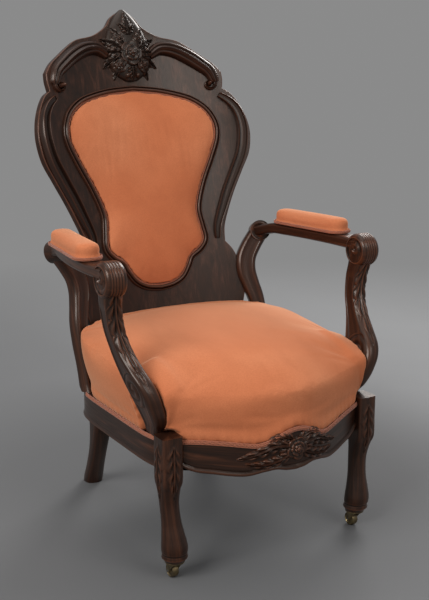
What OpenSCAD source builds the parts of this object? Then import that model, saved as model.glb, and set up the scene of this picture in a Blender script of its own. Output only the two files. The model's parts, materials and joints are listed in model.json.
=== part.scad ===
// Parlour armchair with a bent laminated back, carved arms, a sprung seat and two front casters.
// The chair faces -Y, +Z is up and the floor is z = 0. X = 0 is the plane of symmetry.
// Each right-hand piece (+X) is modelled once and its left-hand twin is mirrored from it.

/* [Overall] */
// Height of the finial's tip above the floor
overall_h = 1110; // [1040:1:1180]
// Height of the tops of the seat rails
rail_top_h = 285; // [270:1:300]
// Height of the seat's crown at its middle
seat_h = 446; // [440:1:456]
// Height of the tops of the front knuckles of the arms
arm_h = 628; // [610:1:650]
// Height of the eyes of the rear scrolls, where the arms meet the back
rear_eye_h = 588; // [570:1:610]

/* [Back] */
// Width of the back across its side lobes
back_w = 546; // [520:1:580]
// Lean of the back from upright, in degrees
back_rake = 16; // [12:0.5:20]
// Radius to which the laminated sheet is bent
back_bend_r = 640; // [560:5:760]
// Thickness of the laminated sheet
back_t = 14; // [11:0.5:17]
// Y of the front of the sheet at the level of the rail tops
back_y = 128; // [122:1:132]
// Width of the bead that frames the upholstered panel
bead_w = 13; // [10:0.5:16]
// Height of the bead above the sheet
bead_h = 9; // [6:0.5:12]
// Width of the carved moulding along the rim
rim_w = 26; // [20:1:32]
// Height of the rim moulding above the sheet
rim_h = 15; // [10:1:20]
// Height of the crest carving above the sheet
crest_h = 20; // [14:1:26]
// Height of the finial's bouquet above the sheet
finial_h = 38; // [28:1:46]
// Thickness of the back pad at its edge
back_pad_edge = 8; // [5:1:12]
// Further swell of the back pad at its middle
back_pad_crown = 24; // [15:1:35]

/* [Seat frame] */
// Width of the seat frame over the side rails
frame_w = 500; // [480:1:510]
// Y of the middle of the seat frame's outline
frame_mid_y = -100; // [-104:1:-96]
// Distance from that middle to the front corners
frame_front = 203; // [200:1:208]
// Distance from that middle to the back of the rear rail
frame_rear = 252; // [249:1:256]
// How far the middle of the front rail bows forward of its ends
front_bow = 72; // [50:1:85]
// Squareness of the frame's corners: 2 is an ellipse
frame_squareness = 6; // [5:0.5:8]
// Thickness of the front and side rails
rail_t = 28; // [24:1:32]
// Thickness of the rear rail
rear_rail_t = 44; // [40:1:48]
// Depth of the side and rear rails
rail_h = 60; // [52:1:68]
// Further depth of the carved front rail below the others
apron_drop = 20; // [10:1:30]
// Dip of the front rail's top edge towards its middle
front_dip = 20; // [12:1:24]
// Rise of the carved crest in the middle of that dip
front_crest_h = 33; // [26:1:36]
// Width of that crest at its foot
front_crest_w = 180; // [150:2:200]

/* [Legs] */
// X of the front legs' square tops
front_leg_x = 235; // [232:1:240]
// Y of the front legs' square tops
front_leg_y = -285; // [-288:1:-282]
// Side of the front legs' square tops
front_leg_w = 44; // [40:1:48]
// How far the front legs' tops stand above the side rails
front_leg_rise = 15; // [10:1:22]
// X of the rear legs' square tops
rear_leg_x = 185; // [180:1:190]
// Y of the rear legs' square tops
rear_leg_y = 128; // [126:1:130]
// Side of the rear legs' square tops
rear_leg_w = 50; // [46:1:54]
// How far the rear feet stand behind their tops
rear_leg_splay = 112; // [80:1:130]
// How far the rear feet stand inside their tops
rear_leg_toe_in = 24; // [10:1:34]

/* [Arms] */
// X of the front knuckles
arm_x = 302; // [296:1:308]
// Distance of the front knuckles behind the front legs' middles
arm_setback = 98; // [92:1:104]
// Width of the arm rails
arm_rail_w = 44; // [38:1:50]
// Thickness of the arm rails
arm_rail_t = 25; // [20:1:30]
// Drop from the knuckles' tops to the rails' tops
arm_drop = 12; // [6:1:16]
// Width of the knuckles
knuckle_w = 46; // [42:1:50]
// Height and depth of the knuckles
knuckle_h = 72; // [64:1:80]
// X of the feet of the arm supports, on the side rails
support_x = 232; // [230:1:235]
// Distance of those feet behind the front legs' middles
support_setback = 50; // [49:1:54]
// Width of the arm supports at their narrowest
support_w = 36; // [32:1:38]
// Depth of the carved scroll on the arm supports
support_scroll_w = 92; // [80:1:100]
// Thickness of the scrolls that carry the back's lower sides
scroll_t = 34; // [30:1:38]
// Length of the arm pads
arm_pad_l = 226; // [210:1:236]
// Width of the arm pads
arm_pad_w = 58; // [52:1:64]
// Thickness of the arm pads
arm_pad_t = 38; // [30:1:46]

/* [Seat] */
// How far the seat's sides swell past the rails
seat_bulge = 26; // [15:1:34]
// How far the seat's front swells past the front rail
seat_front_bulge = 5; // [0:1:12]
// Height of the seat's hard edge at the front
seat_edge_front_h = 376; // [370:1:385]
// Height of the seat's edge at the back
seat_edge_rear_h = 430; // [420:1:436]
// Thickness of the stuffing over the springs
seat_stuffing = 84; // [76:1:92]
// Width of the stuffed wall that stands on the rails
seat_wall = 35; // [32:1:42]
// Gap between the seat's rear edge and the back sheet
seat_back_gap = 6; // [4:1:10]
// Diameter of the gimp cord
gimp_d = 6; // [4:0.5:8]
// Diameter of the seat springs at their ends
spring_d = 86; // [70:1:96]
// Diameter of the seat springs at their waist
spring_waist_d = 56; // [44:1:66]
// Diameter of the spring wire
spring_wire_d = 3.6; // [3:0.1:4.2]
// Turns of each seat spring
spring_turns = 5; // [4:1:6]
// Distance of the outer springs from the seat's middle line
spring_x = 116; // [105:1:125]
// Distance between the front and rear springs
spring_run = 176; // [160:1:190]
// Width of the webbing straps
web_w = 50; // [44:1:54]
// Thickness of the webbing
web_t = 1.4; // [1:0.1:2]
// Distance between neighbouring straps
web_pitch = 80; // [74:1:84]

/* [Casters] */
// Diameter of the caster wheels
wheel_d = 30; // [26:1:32]
// Width of the caster wheels
wheel_w = 15; // [12:0.5:18]
// Diameter of the axles
axle_d = 4; // [3:0.5:5]
// Distance that the axle trails behind the swivel
caster_trail = 10; // [8:0.5:12]
// Diameter of the caster plates
plate_d = 40; // [38:1:44]
// Thickness of the caster plates and of the forks' crowns
plate_t = 3; // [2.5:0.5:4]
// Diameter of the swivel stud
stud_d = 6; // [5:0.5:8]
// Thickness of the forks' cheeks
cheek_t = 2.6; // [2:0.2:3.4]

/* [Fixings] */
// Diameter of the dowels
dowel_d = 8; // [6:0.5:10]
// Length of the dowels
dowel_l = 34; // [28:1:38]
// Leg of the triangular corner blocks
block_leg = 58; // [50:1:66]
// Diameter of the wood screws
screw_d = 4; // [3:0.5:5]
// Length of the wood screws
screw_l = 40; // [34:1:46]

/* [Hidden] */
$fn = 48;

// Colours
rosewood = "#3a231b";
dark_rosewood = "#2a1812";
beech = "#c69c6d";
velvet = "#cb7850";
gimp_cord = "#b9653f";
steel = "#8f9296";
brass = "#9c8a5a";
jute = "#b89a6a";
cambric = "#222222";

// Clearances: glued or tacked pieces, turning pieces, running fits and overruns of cuts
seat_gap = 0.3;
turn_gap = 0.5;
run_gap = 0.05;
hole_gap = 0.1;
cut_over = 1;

// Places that several pieces share
back_l = (overall_h - rail_top_h) / cos(back_rake);
half_back_w = back_w / 2;
half_frame_w = frame_w / 2;
caster_fork_gap = 1.5;
stud_head_t = 1.5;
stud_lip = 1.5;
stud_head_d = stud_d + 2 * stud_lip;
fork_top_z = wheel_d + caster_fork_gap + stud_head_t + plate_t + seat_gap;
caster_h = fork_top_z + seat_gap + plate_t;
front_leg_top = rail_top_h + front_leg_rise;
knuckle_y = front_leg_y + arm_setback;
support_y = front_leg_y + support_setback;
knuckle_z = arm_h - knuckle_h / 2;
arm_rail_top = arm_h - arm_drop;
arm_rail_z = arm_rail_top - arm_rail_t / 2;
spring_top = seat_h - seat_stuffing;
web_top = rail_top_h - rail_h - seat_gap;
web_ledge = 14;

// Blend of two values
function mix(a, b, t) = a + (b - a) * t;

// Point on a Catmull-Rom curve between b and c
function curve_point(a, b, c, d, t) =
    ((2 * b) + (c - a) * t + (2 * a - 5 * b + 4 * c - d) * t * t
    + (3 * b - a - 3 * c + d) * t * t * t) / 2;

// Smooth curve through points, with a given number of steps between neighbours
function curve(pts, steps) = [
    for (i = [0 : len(pts) - 2])
        for (s = [0 : steps - 1])
            curve_point(pts[max(i - 1, 0)], pts[i], pts[i + 1],
                pts[min(i + 2, len(pts) - 1)], s / steps),
    pts[len(pts) - 1]
];

// Curve whose cusps are the ends of separate runs of points
function cusped(runs, steps) = [
    for (r = runs) let (c = curve(r, steps)) for (i = [0 : len(c) - 2]) c[i],
    runs[len(runs) - 1][len(runs[len(runs) - 1]) - 1]
];

// Half outline on +X, top to bottom, closed by its mirror image
function mirrored(half) = concat(
    half,
    [for (i = [len(half) - 1 : -1 : 0]) if (half[i][0] > 0) [-half[i][0], half[i][1]]]
);

function scaled(pts, w, h) = [for (p = pts) [p[0] * w, p[1] * h]];

// Ring of 4 * n points round a rectangle of half sides a and b with its corners rounded by rad
function ring(a, b, rad, n = 4) = [
    for (q = [0 : 3]) for (k = [0 : n - 1])
        let (
            t = 90 * (q + (k + 1 / 2) / n),
            sx = (q == 0 || q == 3) ? 1 : -1,
            sy = q < 2 ? 1 : -1
        )
        [sx * (a - rad) + rad * cos(t), sy * (b - rad) + rad * sin(t)]
];

// Ring of a horizontal section: place, half sides and the share of the corner that is round
function level_ring(x, y, z, a, b, round_share) = [
    for (p = ring(a, b, min(a, b) * round_share)) [x + p[0], y + p[1], z]
];

function middle(pts) = [for (p = pts) 1] * pts / len(pts);

// Closed skin through rings that run counter-clockwise as seen from the far end
module loft(rings) {
    n = len(rings[0]);
    m = len(rings);
    low = n * m;
    polyhedron(
        points = concat([for (r = rings) each r], [middle(rings[0]), middle(rings[m - 1])]),
        faces = concat(
            [for (i = [0 : n - 1]) [i, (i + 1) % n, low]],
            [for (i = [0 : n - 1]) [(m - 1) * n + (i + 1) % n, (m - 1) * n + i, low + 1]],
            [for (j = [0 : m - 2]) for (i = [0 : n - 1])
                [j * n + i, (j + 1) * n + i, (j + 1) * n + (i + 1) % n]],
            [for (j = [0 : m - 2]) for (i = [0 : n - 1])
                [j * n + i, (j + 1) * n + (i + 1) % n, j * n + (i + 1) % n]]
        )
    );
}

// Skin through rings that close on themselves, such as a cord round a pad
module ring_loft(rings) {
    n = len(rings[0]);
    m = len(rings);
    polyhedron(
        points = [for (r = rings) each r],
        faces = concat(
            [for (j = [0 : m - 1]) for (i = [0 : n - 1])
                [j * n + i, ((j + 1) % m) * n + i, ((j + 1) % m) * n + (i + 1) % n]],
            [for (j = [0 : m - 1]) for (i = [0 : n - 1])
                [j * n + i, ((j + 1) % m) * n + (i + 1) % n, j * n + (i + 1) % n]]
        )
    );
}

// Ring of n points and radius r about c, square to the path's direction along
function tube_ring(c, along, r, n) =
    let (
        t = along / norm(along),
        side = cross(t, abs(t[2]) > 0.9 ? [1, 0, 0] : [0, 0, 1]),
        u = side / norm(side),
        v = cross(t, u)
    )
    [for (i = [0 : n - 1]) c + r * (cos(360 * i / n) * u + sin(360 * i / n) * v)];

function path_direction(path, i, closed = false) =
    let (n = len(path))
    closed
        ? path[(i + 1) % n] - path[(i + n - 1) % n]
        : path[min(i + 1, n - 1)] - path[max(i - 1, 0)];

module mirrored_left() mirror([1, 0, 0]) children();

// Back

// Point on the bent sheet: x across, v up the slope from the rail tops, h out towards the sitter
function on_back(x, v, h) =
    let (
        turn = asin(x / back_bend_r),
        r = back_bend_r - h,
        y = r * cos(turn) - back_bend_r
    )
    [
        r * sin(turn),
        back_y + y * cos(back_rake) + v * sin(back_rake),
        rail_top_h + v * cos(back_rake) - y * sin(back_rake)
    ];

// Rim of the back as shares of half its width and of its slope length, in runs between cusps
back_rim_shares = [
    [[0, 1], [0.11, 0.978], [0.18, 0.95], [0.31, 0.925], [0.48, 0.91], [0.58, 0.889],
        [0.67, 0.866], [0.765, 0.84], [0.83, 0.812]],
    [[0.83, 0.812], [0.833, 0.79], [0.82, 0.765]],
    [[0.82, 0.765], [0.88, 0.75], [0.94, 0.718], [0.985, 0.677], [1, 0.63], [0.97, 0.577],
        [0.892, 0.528], [0.8, 0.472], [0.73, 0.423], [0.675, 0.376], [0.66, 0.334]],
    [[0.66, 0.334], [0.72, 0.305], [0.765, 0.255], [0.775, 0.2], [0.74, 0.155]],
    [[0.74, 0.155], [0.66, 0.127], [0.55, 0.12], [0.45, 0.13], [0.38, 0.16]],
    [[0.38, 0.16], [0.33, 0.148], [0.27, 0.13], [0.23, 0.1], [0.217, 0.06], [0.217, 0]]
];

// Upholstered panel, as shares of the same sizes
panel_shares = [
    [0, 0.77], [0.22, 0.763], [0.404, 0.749], [0.534, 0.732], [0.639, 0.703], [0.693, 0.665],
    [0.686, 0.627], [0.614, 0.574], [0.527, 0.519], [0.462, 0.468], [0.433, 0.427],
    [0.448, 0.383], [0.458, 0.348], [0.404, 0.325], [0.318, 0.307], [0.274, 0.283],
    [0.209, 0.255], [0.116, 0.24], [0, 0.235]
];
panel_middle_share = 0.53;

// Middle line of the rim moulding, and of the crest's scroll
rim_line_shares = [
    [0.78, 0.748], [0.86, 0.727], [0.915, 0.7], [0.94, 0.667], [0.94, 0.63], [0.906, 0.58],
    [0.83, 0.53], [0.744, 0.478], [0.672, 0.428], [0.612, 0.382], [0.595, 0.344]
];
crest_line_shares = [
    [0.765, 0.785], [0.73, 0.815], [0.65, 0.839], [0.54, 0.865], [0.42, 0.884], [0.3, 0.888],
    [0.2, 0.87]
];

// Half widths of the finial's bouquet up the slope, as shares of half the back's width
finial_shares = [
    [0.8, 0.06], [0.815, 0.13], [0.84, 0.19], [0.875, 0.215], [0.91, 0.2], [0.94, 0.165],
    [0.965, 0.12], [0.985, 0.07], [0.998, 0.02]
];

back_steps = 5;
panel_line = scaled(mirrored(curve(panel_shares, 2)), half_back_w, back_l);

module place_on_back() {
    translate([0, back_y, rail_top_h]) rotate([-back_rake, 0, 0]) children();
}

module back_sheet(clear = 0) {
    rim = scaled(mirrored(cusped(back_rim_shares, back_steps)), half_back_w, back_l);
    place_on_back() intersection() {
        rotate([90, 0, 0]) translate([0, 0, -back_bend_r / 2])
            linear_extrude(back_bend_r) offset(delta = clear) polygon(rim);
        translate([0, -back_bend_r, -back_l]) difference() {
            cylinder(r = back_bend_r + back_t + clear, h = 3 * back_l, $fn = 180);
            translate([0, 0, -cut_over])
                cylinder(r = back_bend_r - clear, h = 3 * back_l + 2 * cut_over, $fn = 180);
        }
    }
}

back_dowel_xs = [-half_back_w * 0.13, 0, half_back_w * 0.13];
back_dowel_l = dowel_l;
back_dowel_d = back_t * 0.5;

module back_dowel_set(gap = 0) {
    for (x = back_dowel_xs)
        place_on_back()
            translate([x, back_t / 2, -back_dowel_l / 2 - gap])
                cylinder(d = back_dowel_d + 2 * gap, h = back_dowel_l + 2 * gap);
}

module back_shell() {
    color(rosewood) difference() {
        back_sheet();
        rail_top_cut();
        back_dowel_set(hole_gap);
    }
}

// Everything below the rail tops, to stand the sheet and the scrolls on them
module rail_top_cut() {
    translate([-back_w, -back_w, rail_top_h + seat_gap - back_w])
        cube([2 * back_w, 2 * back_w, back_w]);
}

module back_dowels() color(beech) back_dowel_set();

// Half-round section of a moulding on the sheet: middle c, the line's direction d there
function moulding_ring(c, d, half_w, h, sides) =
    let (n = [-d[1], d[0]] / norm(d))
    [
        for (k = [0 : sides - 1])
            let (
                t = 180 * k / (sides - 1),
                s = half_w * cos(t),
                up = seat_gap + h * sin(t)
            )
            on_back(c[0] + n[0] * s, c[1] + n[1] * s, up)
    ];

// Moulding along an open line of [x, v] that tapers to both ends
module tapered_moulding(line, w, h, end_share, sides) {
    last = len(line) - 1;
    loft([
        for (i = [0 : last])
            let (size = swell(i / last, end_share))
            moulding_ring(line[i], path_direction(line, i), w / 2 * size, h * size, sides)
    ]);
}

// Swell from thin ends to a full middle, as a share of the full size
function swell(t, end_share) = mix(end_share, 1, pow(sin(180 * t), 0.5));

bead_clear = 2;
module panel_bead_r() {
    half = curve(panel_shares, 3);
    whole = scaled(mirrored(half), half_back_w, back_l);
    color(dark_rosewood) loft([
        for (i = [0 : len(half) - 1])
            let (
                d = path_direction(whole, i, true),
                out = [-d[1], d[0]] / norm(d) * (bead_w / 2 + bead_clear),
                c = whole[i] + out
            )
            moulding_ring([max(c[0], seat_gap / 2), c[1]], d, bead_w / 2, bead_h, 6)
    ]);
}

module panel_bead_l() mirrored_left() panel_bead_r();

module rim_moulding_r() {
    color(dark_rosewood) tapered_moulding(
        scaled(curve(rim_line_shares, 4), half_back_w, back_l), rim_w, rim_h, 0.4, 6);
}

module rim_moulding_l() mirrored_left() rim_moulding_r();

crest_scroll_w = rim_w * 1.5;
module crest_scroll_r() {
    color(dark_rosewood) difference() {
        tapered_moulding(
            scaled(curve(crest_line_shares, 4), half_back_w, back_l), crest_scroll_w, crest_h, 0.5, 8);
        finial_form(seat_gap);
    }
}

module crest_scroll_l() mirrored_left() crest_scroll_r();

// Bouquet: half-round sections up the slope, thickest where it is widest, on a bent base
module finial_form(clear = 0) {
    rows = curve(finial_shares, 2);
    widest = max([for (p = rows) p[1]]);
    low = seat_gap - clear;
    loft([
        for (p = rows)
            let (
                v = p[0] * back_l,
                w = p[1] * half_back_w + clear,
                h = finial_h * pow(p[1] / widest, 0.6) + clear
            )
            concat(
                [for (k = [0 : 11]) let (t = 180 * k / 11) on_back(-w * cos(t), v, low + h * sin(t))],
                [for (k = [1 : 3]) on_back(w * (1 - k / 2), v, low)]
            )
    ]);
}

module crest_finial() color(dark_rosewood) finial_form();

// Pad: rings shrink to the panel's middle and rise from the edge to the crown
module back_pad() {
    edge = panel_line;
    mid = [0, panel_middle_share * back_l];
    shrink_shares = [0.34, 0.67, 1, 1, 0.975, 0.92, 0.83, 0.68, 0.48, 0.24];
    rise_shares = [0, 0, 0, 0.45, 0.85, 1.15, 1.4, 1.62, 1.8, 1.9];
    color(velvet) loft([
        for (j = [0 : len(shrink_shares) - 1])
            let (
                s = shrink_shares[j],
                up = rise_shares[j],
                h = seat_gap + back_pad_edge * min(up, 1) + back_pad_crown * max(up - 1, 0)
            )
            [for (p = edge) let (q = mid + (p - mid) * s) on_back(-q[0], q[1], h)]
    ]);
}

// Scrolls that join the arms, the back's lower sides and the rails

// Middle line: x as a share of half the back's width, v as a share of the arm's height there,
// and half width in shares of the scroll's thickness
scroll_line_shares = [
    [0.845, 0, 0.47], [0.85, 0.14, 0.44], [0.86, 0.3, 0.46], [0.852, 0.44, 0.52],
    [0.822, 0.56, 0.58], [0.802, 0.66, 0.64], [0.815, 0.755, 0.66], [0.87, 0.845, 0.65],
    [0.96, 0.95, 0.62]
];

scroll_rise = (rear_eye_h - rail_top_h) / cos(back_rake);

module scroll_form(clear = 0) {
    line = curve([for (p = scroll_line_shares)
        [p[0] * half_back_w, p[1] * scroll_rise, p[2] * scroll_t]], 3);
    path = concat([[line[0][0], line[0][1] - scroll_t, line[0][2]]], line);
    last = len(path) - 1;
    loft([
        for (i = [0 : last])
            let (
                p = path[i],
                d = path_direction(path, i),
                n = [d[1], -d[0]] / norm([d[0], d[1]])
            )
            [
                for (q = ring(p[2] + clear, scroll_t / 2 + clear, scroll_t * 0.4, 3))
                    on_back(p[0] + n[0] * q[0], p[1] + n[1] * q[0], -q[1] - back_t / 4)
            ]
    ]);
    eye = path[last];
    turn = asin(eye[0] / back_bend_r);
    place_on_back()
        translate([eye[0], back_bend_r * (cos(turn) - 1), eye[1]])
            rotate([90, 0, -turn])
                translate([0, 0, -scroll_t * 0.62 - back_t / 4 - clear])
                    cylinder(r = scroll_t * 0.72 + clear, h = scroll_t * 1.24 + 2 * clear, $fn = 32);
}

module back_scroll_r() {
    color(rosewood) difference() {
        scroll_form();
        back_sheet(seat_gap);
        rail_top_cut();
    }
}

module back_scroll_l() mirrored_left() back_scroll_r();

// Arms

module knuckle_form(clear = 0) {
    roll_shares = [[-1, 0.72], [-0.82, 0.92], [-0.4, 1], [0.4, 1], [0.82, 0.92], [1, 0.72]];
    r = knuckle_h / 2;
    loft([
        for (s = roll_shares) [
            for (i = [0 : 15])
                let (t = 360 * i / 16)
                [
                    arm_x + s[0] * (knuckle_w / 2 + clear),
                    knuckle_y + (r + clear) * s[1] * cos(t),
                    knuckle_z + (r + clear) * s[1] * sin(t)
                ]
        ]
    ]);
}

rear_eye_share = scroll_line_shares[len(scroll_line_shares) - 1];
rear_eye = on_back(rear_eye_share[0] * half_back_w, rear_eye_share[1] * scroll_rise, 0);
arm_bow = 8;

// Middle line of the arm rail: level under the pad, then down and in to the rear scroll's eye
arm_line_shares = [
    [0, 0, 0], [0.25, 0.5, 0], [0.5, 0.6, 0], [0.72, 0.35, 0], [0.84, 0.1, 0.08], [1, 0, 1]
];
arm_line = curve([
    for (p = arm_line_shares) [
        mix(arm_x, rear_eye[0], p[0] * p[0]) + arm_bow * p[1],
        mix(knuckle_y, rear_eye[1], p[0]),
        mix(arm_rail_z, rear_eye[2], p[2])
    ]
], 3);

module arm_rail_form() {
    last = len(arm_line) - 1;
    loft([
        for (i = [0 : last])
            let (p = arm_line[last - i])
            [
                for (q = ring(arm_rail_w / 2, arm_rail_t / 2, arm_rail_t * 0.3, 3))
                    [p[0] + q[0], p[1], p[2] + q[1]]
            ]
    ]);
}

module arm_rail_r() {
    color(rosewood) difference() {
        union() {
            arm_rail_form();
            knuckle_form();
        }
        scroll_form(seat_gap);
        arm_dowel_pair(hole_gap);
    }
}

module arm_rail_l() mirrored_left() arm_rail_r();

// Arm support: place, half width and half depth at shares of the height from rail to knuckle
support_shares = [
    [0, 0, 0, 0.42, 0.25], [0.05, 0.05, -0.04, 0.43, 0.265], [0.1, 0.12, -0.15, 0.45, 0.35],
    [0.16, 0.22, -0.21, 0.48, 0.41], [0.22, 0.32, -0.22, 0.51, 0.445], [0.3, 0.45, -0.15, 0.54, 0.48],
    [0.38, 0.57, 0.06, 0.54, 0.465], [0.47, 0.69, 0.46, 0.51, 0.36], [0.56, 0.78, 0.83, 0.5, 0.26],
    [0.67, 0.86, 1.16, 0.5, 0.215], [0.8, 0.93, 1.23, 0.52, 0.22], [0.91, 0.98, 1.08, 0.56, 0.25],
    [1, 1, 1, 0.6, 0.27]
];

// Its rings, grown by clear and widened outwards by room
function support_rings(clear, room) = [
    for (p = curve(support_shares, 2))
        let (
            x = mix(support_x, arm_x, p[1]),
            section = level_ring(
                x,
                mix(support_y, knuckle_y, p[2]),
                mix(rail_top_h + seat_gap, knuckle_z, p[0]),
                p[3] * support_w + clear,
                p[4] * support_scroll_w + clear,
                0.7
            )
        )
        [for (q = section) [q[0] + (q[0] > x ? room : 0), q[1], q[2]]]
];

module support_form() loft(support_rings(0, 0));

// Slot that clears the support and everything outside it, from below the rail tops
module support_slot() {
    rings = support_rings(turn_gap, seat_bulge + support_w);
    loft(concat([[for (q = rings[0]) q - [0, 0, rail_h]]], rings));
}

module arm_support_r() {
    color(rosewood) difference() {
        support_form();
        knuckle_form(seat_gap);
        arm_dowel_pair(hole_gap);
    }
}

module arm_support_l() mirrored_left() arm_support_r();

// Dowels at the foot and the head of each arm support
module arm_dowel_pair(gap = 0) {
    h = dowel_l + 2 * gap;
    translate([support_x, support_y, rail_top_h - h / 2])
        cylinder(d = dowel_d + 2 * gap, h = h);
    translate([arm_x, knuckle_y, knuckle_z - knuckle_h / 2 - h * 0.4])
        cylinder(d = dowel_d + 2 * gap, h = h);
}

module arm_dowels() {
    color(beech) {
        arm_dowel_pair();
        mirrored_left() arm_dowel_pair();
    }
}

// Arm pads: rounded blocks whose sides swell and whose tops are crowned
pad_knuckle_gap = 30;
arm_pad_y = knuckle_y + knuckle_h / 2 + pad_knuckle_gap + arm_pad_l / 2;
arm_pad_share = (arm_pad_y - knuckle_y) / (rear_eye[1] - knuckle_y);
arm_pad_x = mix(arm_x, rear_eye[0], arm_pad_share * arm_pad_share) + arm_bow * 0.6;
arm_pad_turn = atan(2 * arm_pad_share * (arm_x - rear_eye[0]) / (rear_eye[1] - knuckle_y));
pad_level_shares = [
    [0, 0.93], [0.1, 0.93], [0.22, 0.985], [0.4, 1], [0.6, 0.97], [0.8, 0.87], [0.93, 0.7],
    [1, 0.4]
];

function pad_ring(level, inset_w, n) =
    let (half_w = arm_pad_w / 2 - inset_w)
    [
        for (p = ring(half_w, arm_pad_l / 2 - inset_w, half_w - cut_over, n))
            [
                arm_pad_x + p[0] * cos(arm_pad_turn) - p[1] * sin(arm_pad_turn),
                arm_pad_y + p[0] * sin(arm_pad_turn) + p[1] * cos(arm_pad_turn),
                arm_rail_top + seat_gap + level
            ]
    ];

module arm_pad_r() {
    color(velvet) loft([
        for (s = pad_level_shares)
            pad_ring(s[0] * arm_pad_t, (1 - s[1]) * arm_pad_w / 2, 6)
    ]);
}

module arm_pad_l() mirrored_left() arm_pad_r();

// Cord that hides the tacks round each arm pad
arm_gimp_d = gimp_d * 0.6;
module arm_gimp_r() {
    inset = arm_pad_w / 2 * (1 - pad_level_shares[0][1]) - arm_gimp_d / 2 - seat_gap;
    path = pad_ring(arm_gimp_d / 2, inset, 6);
    color(gimp_cord) ring_loft([
        for (i = [0 : len(path) - 1])
            tube_ring(path[i], path_direction(path, i, true), arm_gimp_d / 2, 6)
    ]);
}

module arm_gimp_l() mirrored_left() arm_gimp_r();

// Seat frame

// Smooth hill of x: 1 in the middle, and 0 from half_w outwards
function hill(x, half_w) = (1 + cos(min(180 * abs(x) / half_w, 180))) / 2;

// How far the front bows at x
function bow_share(x) = hill(x, half_frame_w);

// Drop of the front rail's top edge at x: it dips from the legs and rises to a crest in the middle
front_half = front_leg_x - front_leg_w / 2;
function front_drop(x) = front_dip * hill(x, front_half) - front_crest_h * hill(x, front_crest_w / 2);
front_top = [for (i = [-20 : 20]) let (x = front_half * i / 20) [x, -front_drop(x)]];

// Outline of the seat at direction t: half width, front and rear reaches, bows of front and rear
function seat_point(t, w, front, rear, bow, rear_curve) =
    let (
        reach = sin(t) < 0 ? front : rear,
        q = frame_squareness,
        r = pow(pow(abs(cos(t)) / w, q) + pow(abs(sin(t)) / reach, q), -1 / q),
        x = r * cos(t),
        y = r * sin(t),
        depth_share = pow(y / reach, 2)
    )
    [x, frame_mid_y + y - depth_share * (y < 0 ? bow * bow_share(x) : x * x * rear_curve)];

outline_n = 88;
frame_outline = [
    for (i = [0 : outline_n - 1])
        seat_point(360 * i / outline_n, half_frame_w, frame_front, frame_rear, front_bow, 0)
];

module frame_plan() polygon(frame_outline);

rear_inner_y = frame_mid_y + frame_rear - rear_rail_t;

module well_plan(grow = 0) {
    intersection() {
        offset(delta = grow - rail_t) frame_plan();
        translate([-frame_w, rear_inner_y + grow - 2 * frame_w]) square(2 * frame_w);
    }
}

module leg_plan(x, y, w, clear) {
    translate([x - w / 2 - clear, y - w / 2 - clear]) square(w + 2 * clear);
}

module rail_slab(h) translate([0, 0, rail_top_h - h]) linear_extrude(h) children();

// Lower edge of the front rail: x as a share of its half length, drop as a share of the drop
apron_shares = [
    [0, 0.6], [0.1, 0.5], [0.2, 0.3], [0.32, 0.45], [0.46, 0.75], [0.6, 0.65], [0.74, 0.4],
    [0.86, 0.2], [0.94, -0.1], [1, -0.5]
];

module front_rail() {
    half = front_half - seat_gap;
    top = [for (p = front_top) [p[0] * half / front_half, p[1]]];
    edge = curve(apron_shares, 3);
    low = [for (p = edge) [p[0] * half, -rail_h - p[1] * apron_drop]];
    n = len(low);
    color(rosewood) difference() {
        intersection() {
            translate([0, 0, rail_top_h - 2 * rail_h]) linear_extrude(2 * rail_h) difference() {
                frame_plan();
                offset(delta = -rail_t) frame_plan();
                translate([-frame_w, front_leg_y + front_leg_w / 2]) square(2 * frame_w);
            }
            translate([0, frame_mid_y, rail_top_h]) rotate([90, 0, 0])
                linear_extrude(2 * frame_w) polygon(concat(
                    top,
                    [for (i = [n - 1 : -1 : 0]) low[i]],
                    [for (i = [1 : n - 1]) [-low[i][0], low[i][1]]]
                ));
        }
        translate([0, 0, rail_top_h - rail_h - 2 * apron_drop])
            linear_extrude(2 * apron_drop) well_plan(web_ledge);
        rail_dowel_set(hole_gap);
        block_screw_set(hole_gap);
    }
}

module side_rail_r() {
    color(rosewood) difference() {
        rail_slab(rail_h) difference() {
            intersection() {
                difference() {
                    frame_plan();
                    offset(delta = -rail_t) frame_plan();
                }
                translate([0, front_leg_y + front_leg_w / 2 + seat_gap]) square(2 * frame_w);
            }
            translate([-frame_w, frame_mid_y])
                square([frame_w + rear_leg_x + rear_leg_w / 2 + seat_gap, 2 * frame_w]);
        }
        rail_dowel_set(hole_gap);
        block_screw_set(hole_gap);
        arm_dowel_pair(hole_gap);
    }
}

module side_rail_l() mirrored_left() side_rail_r();

module rear_rail() {
    half = rear_leg_x - rear_leg_w / 2 - seat_gap;
    color(rosewood) difference() {
        rail_slab(rail_h) intersection() {
            frame_plan();
            translate([-half, rear_inner_y]) square([2 * half, 2 * rear_rail_t]);
        }
        rail_dowel_set(hole_gap);
        block_screw_set(hole_gap);
        back_dowel_set(hole_gap);
    }
}

// Dowels: two at each end of every rail, half in the leg and half in the rail
dowel_zs = [rail_top_h - rail_h * 0.28, rail_top_h - rail_h * 0.72];
front_dowel_y = front_leg_y + front_leg_w * 0.14;
side_dowel_x = front_leg_x + front_leg_w * 0.02;
rear_dowel_y = rear_leg_y - rear_leg_w * 0.14;
corner_dowel_y = rear_leg_y - rear_leg_w * 0.3;

module dowel(gap) cylinder(d = dowel_d + 2 * gap, h = dowel_l + 2 * gap, center = true);

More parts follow.
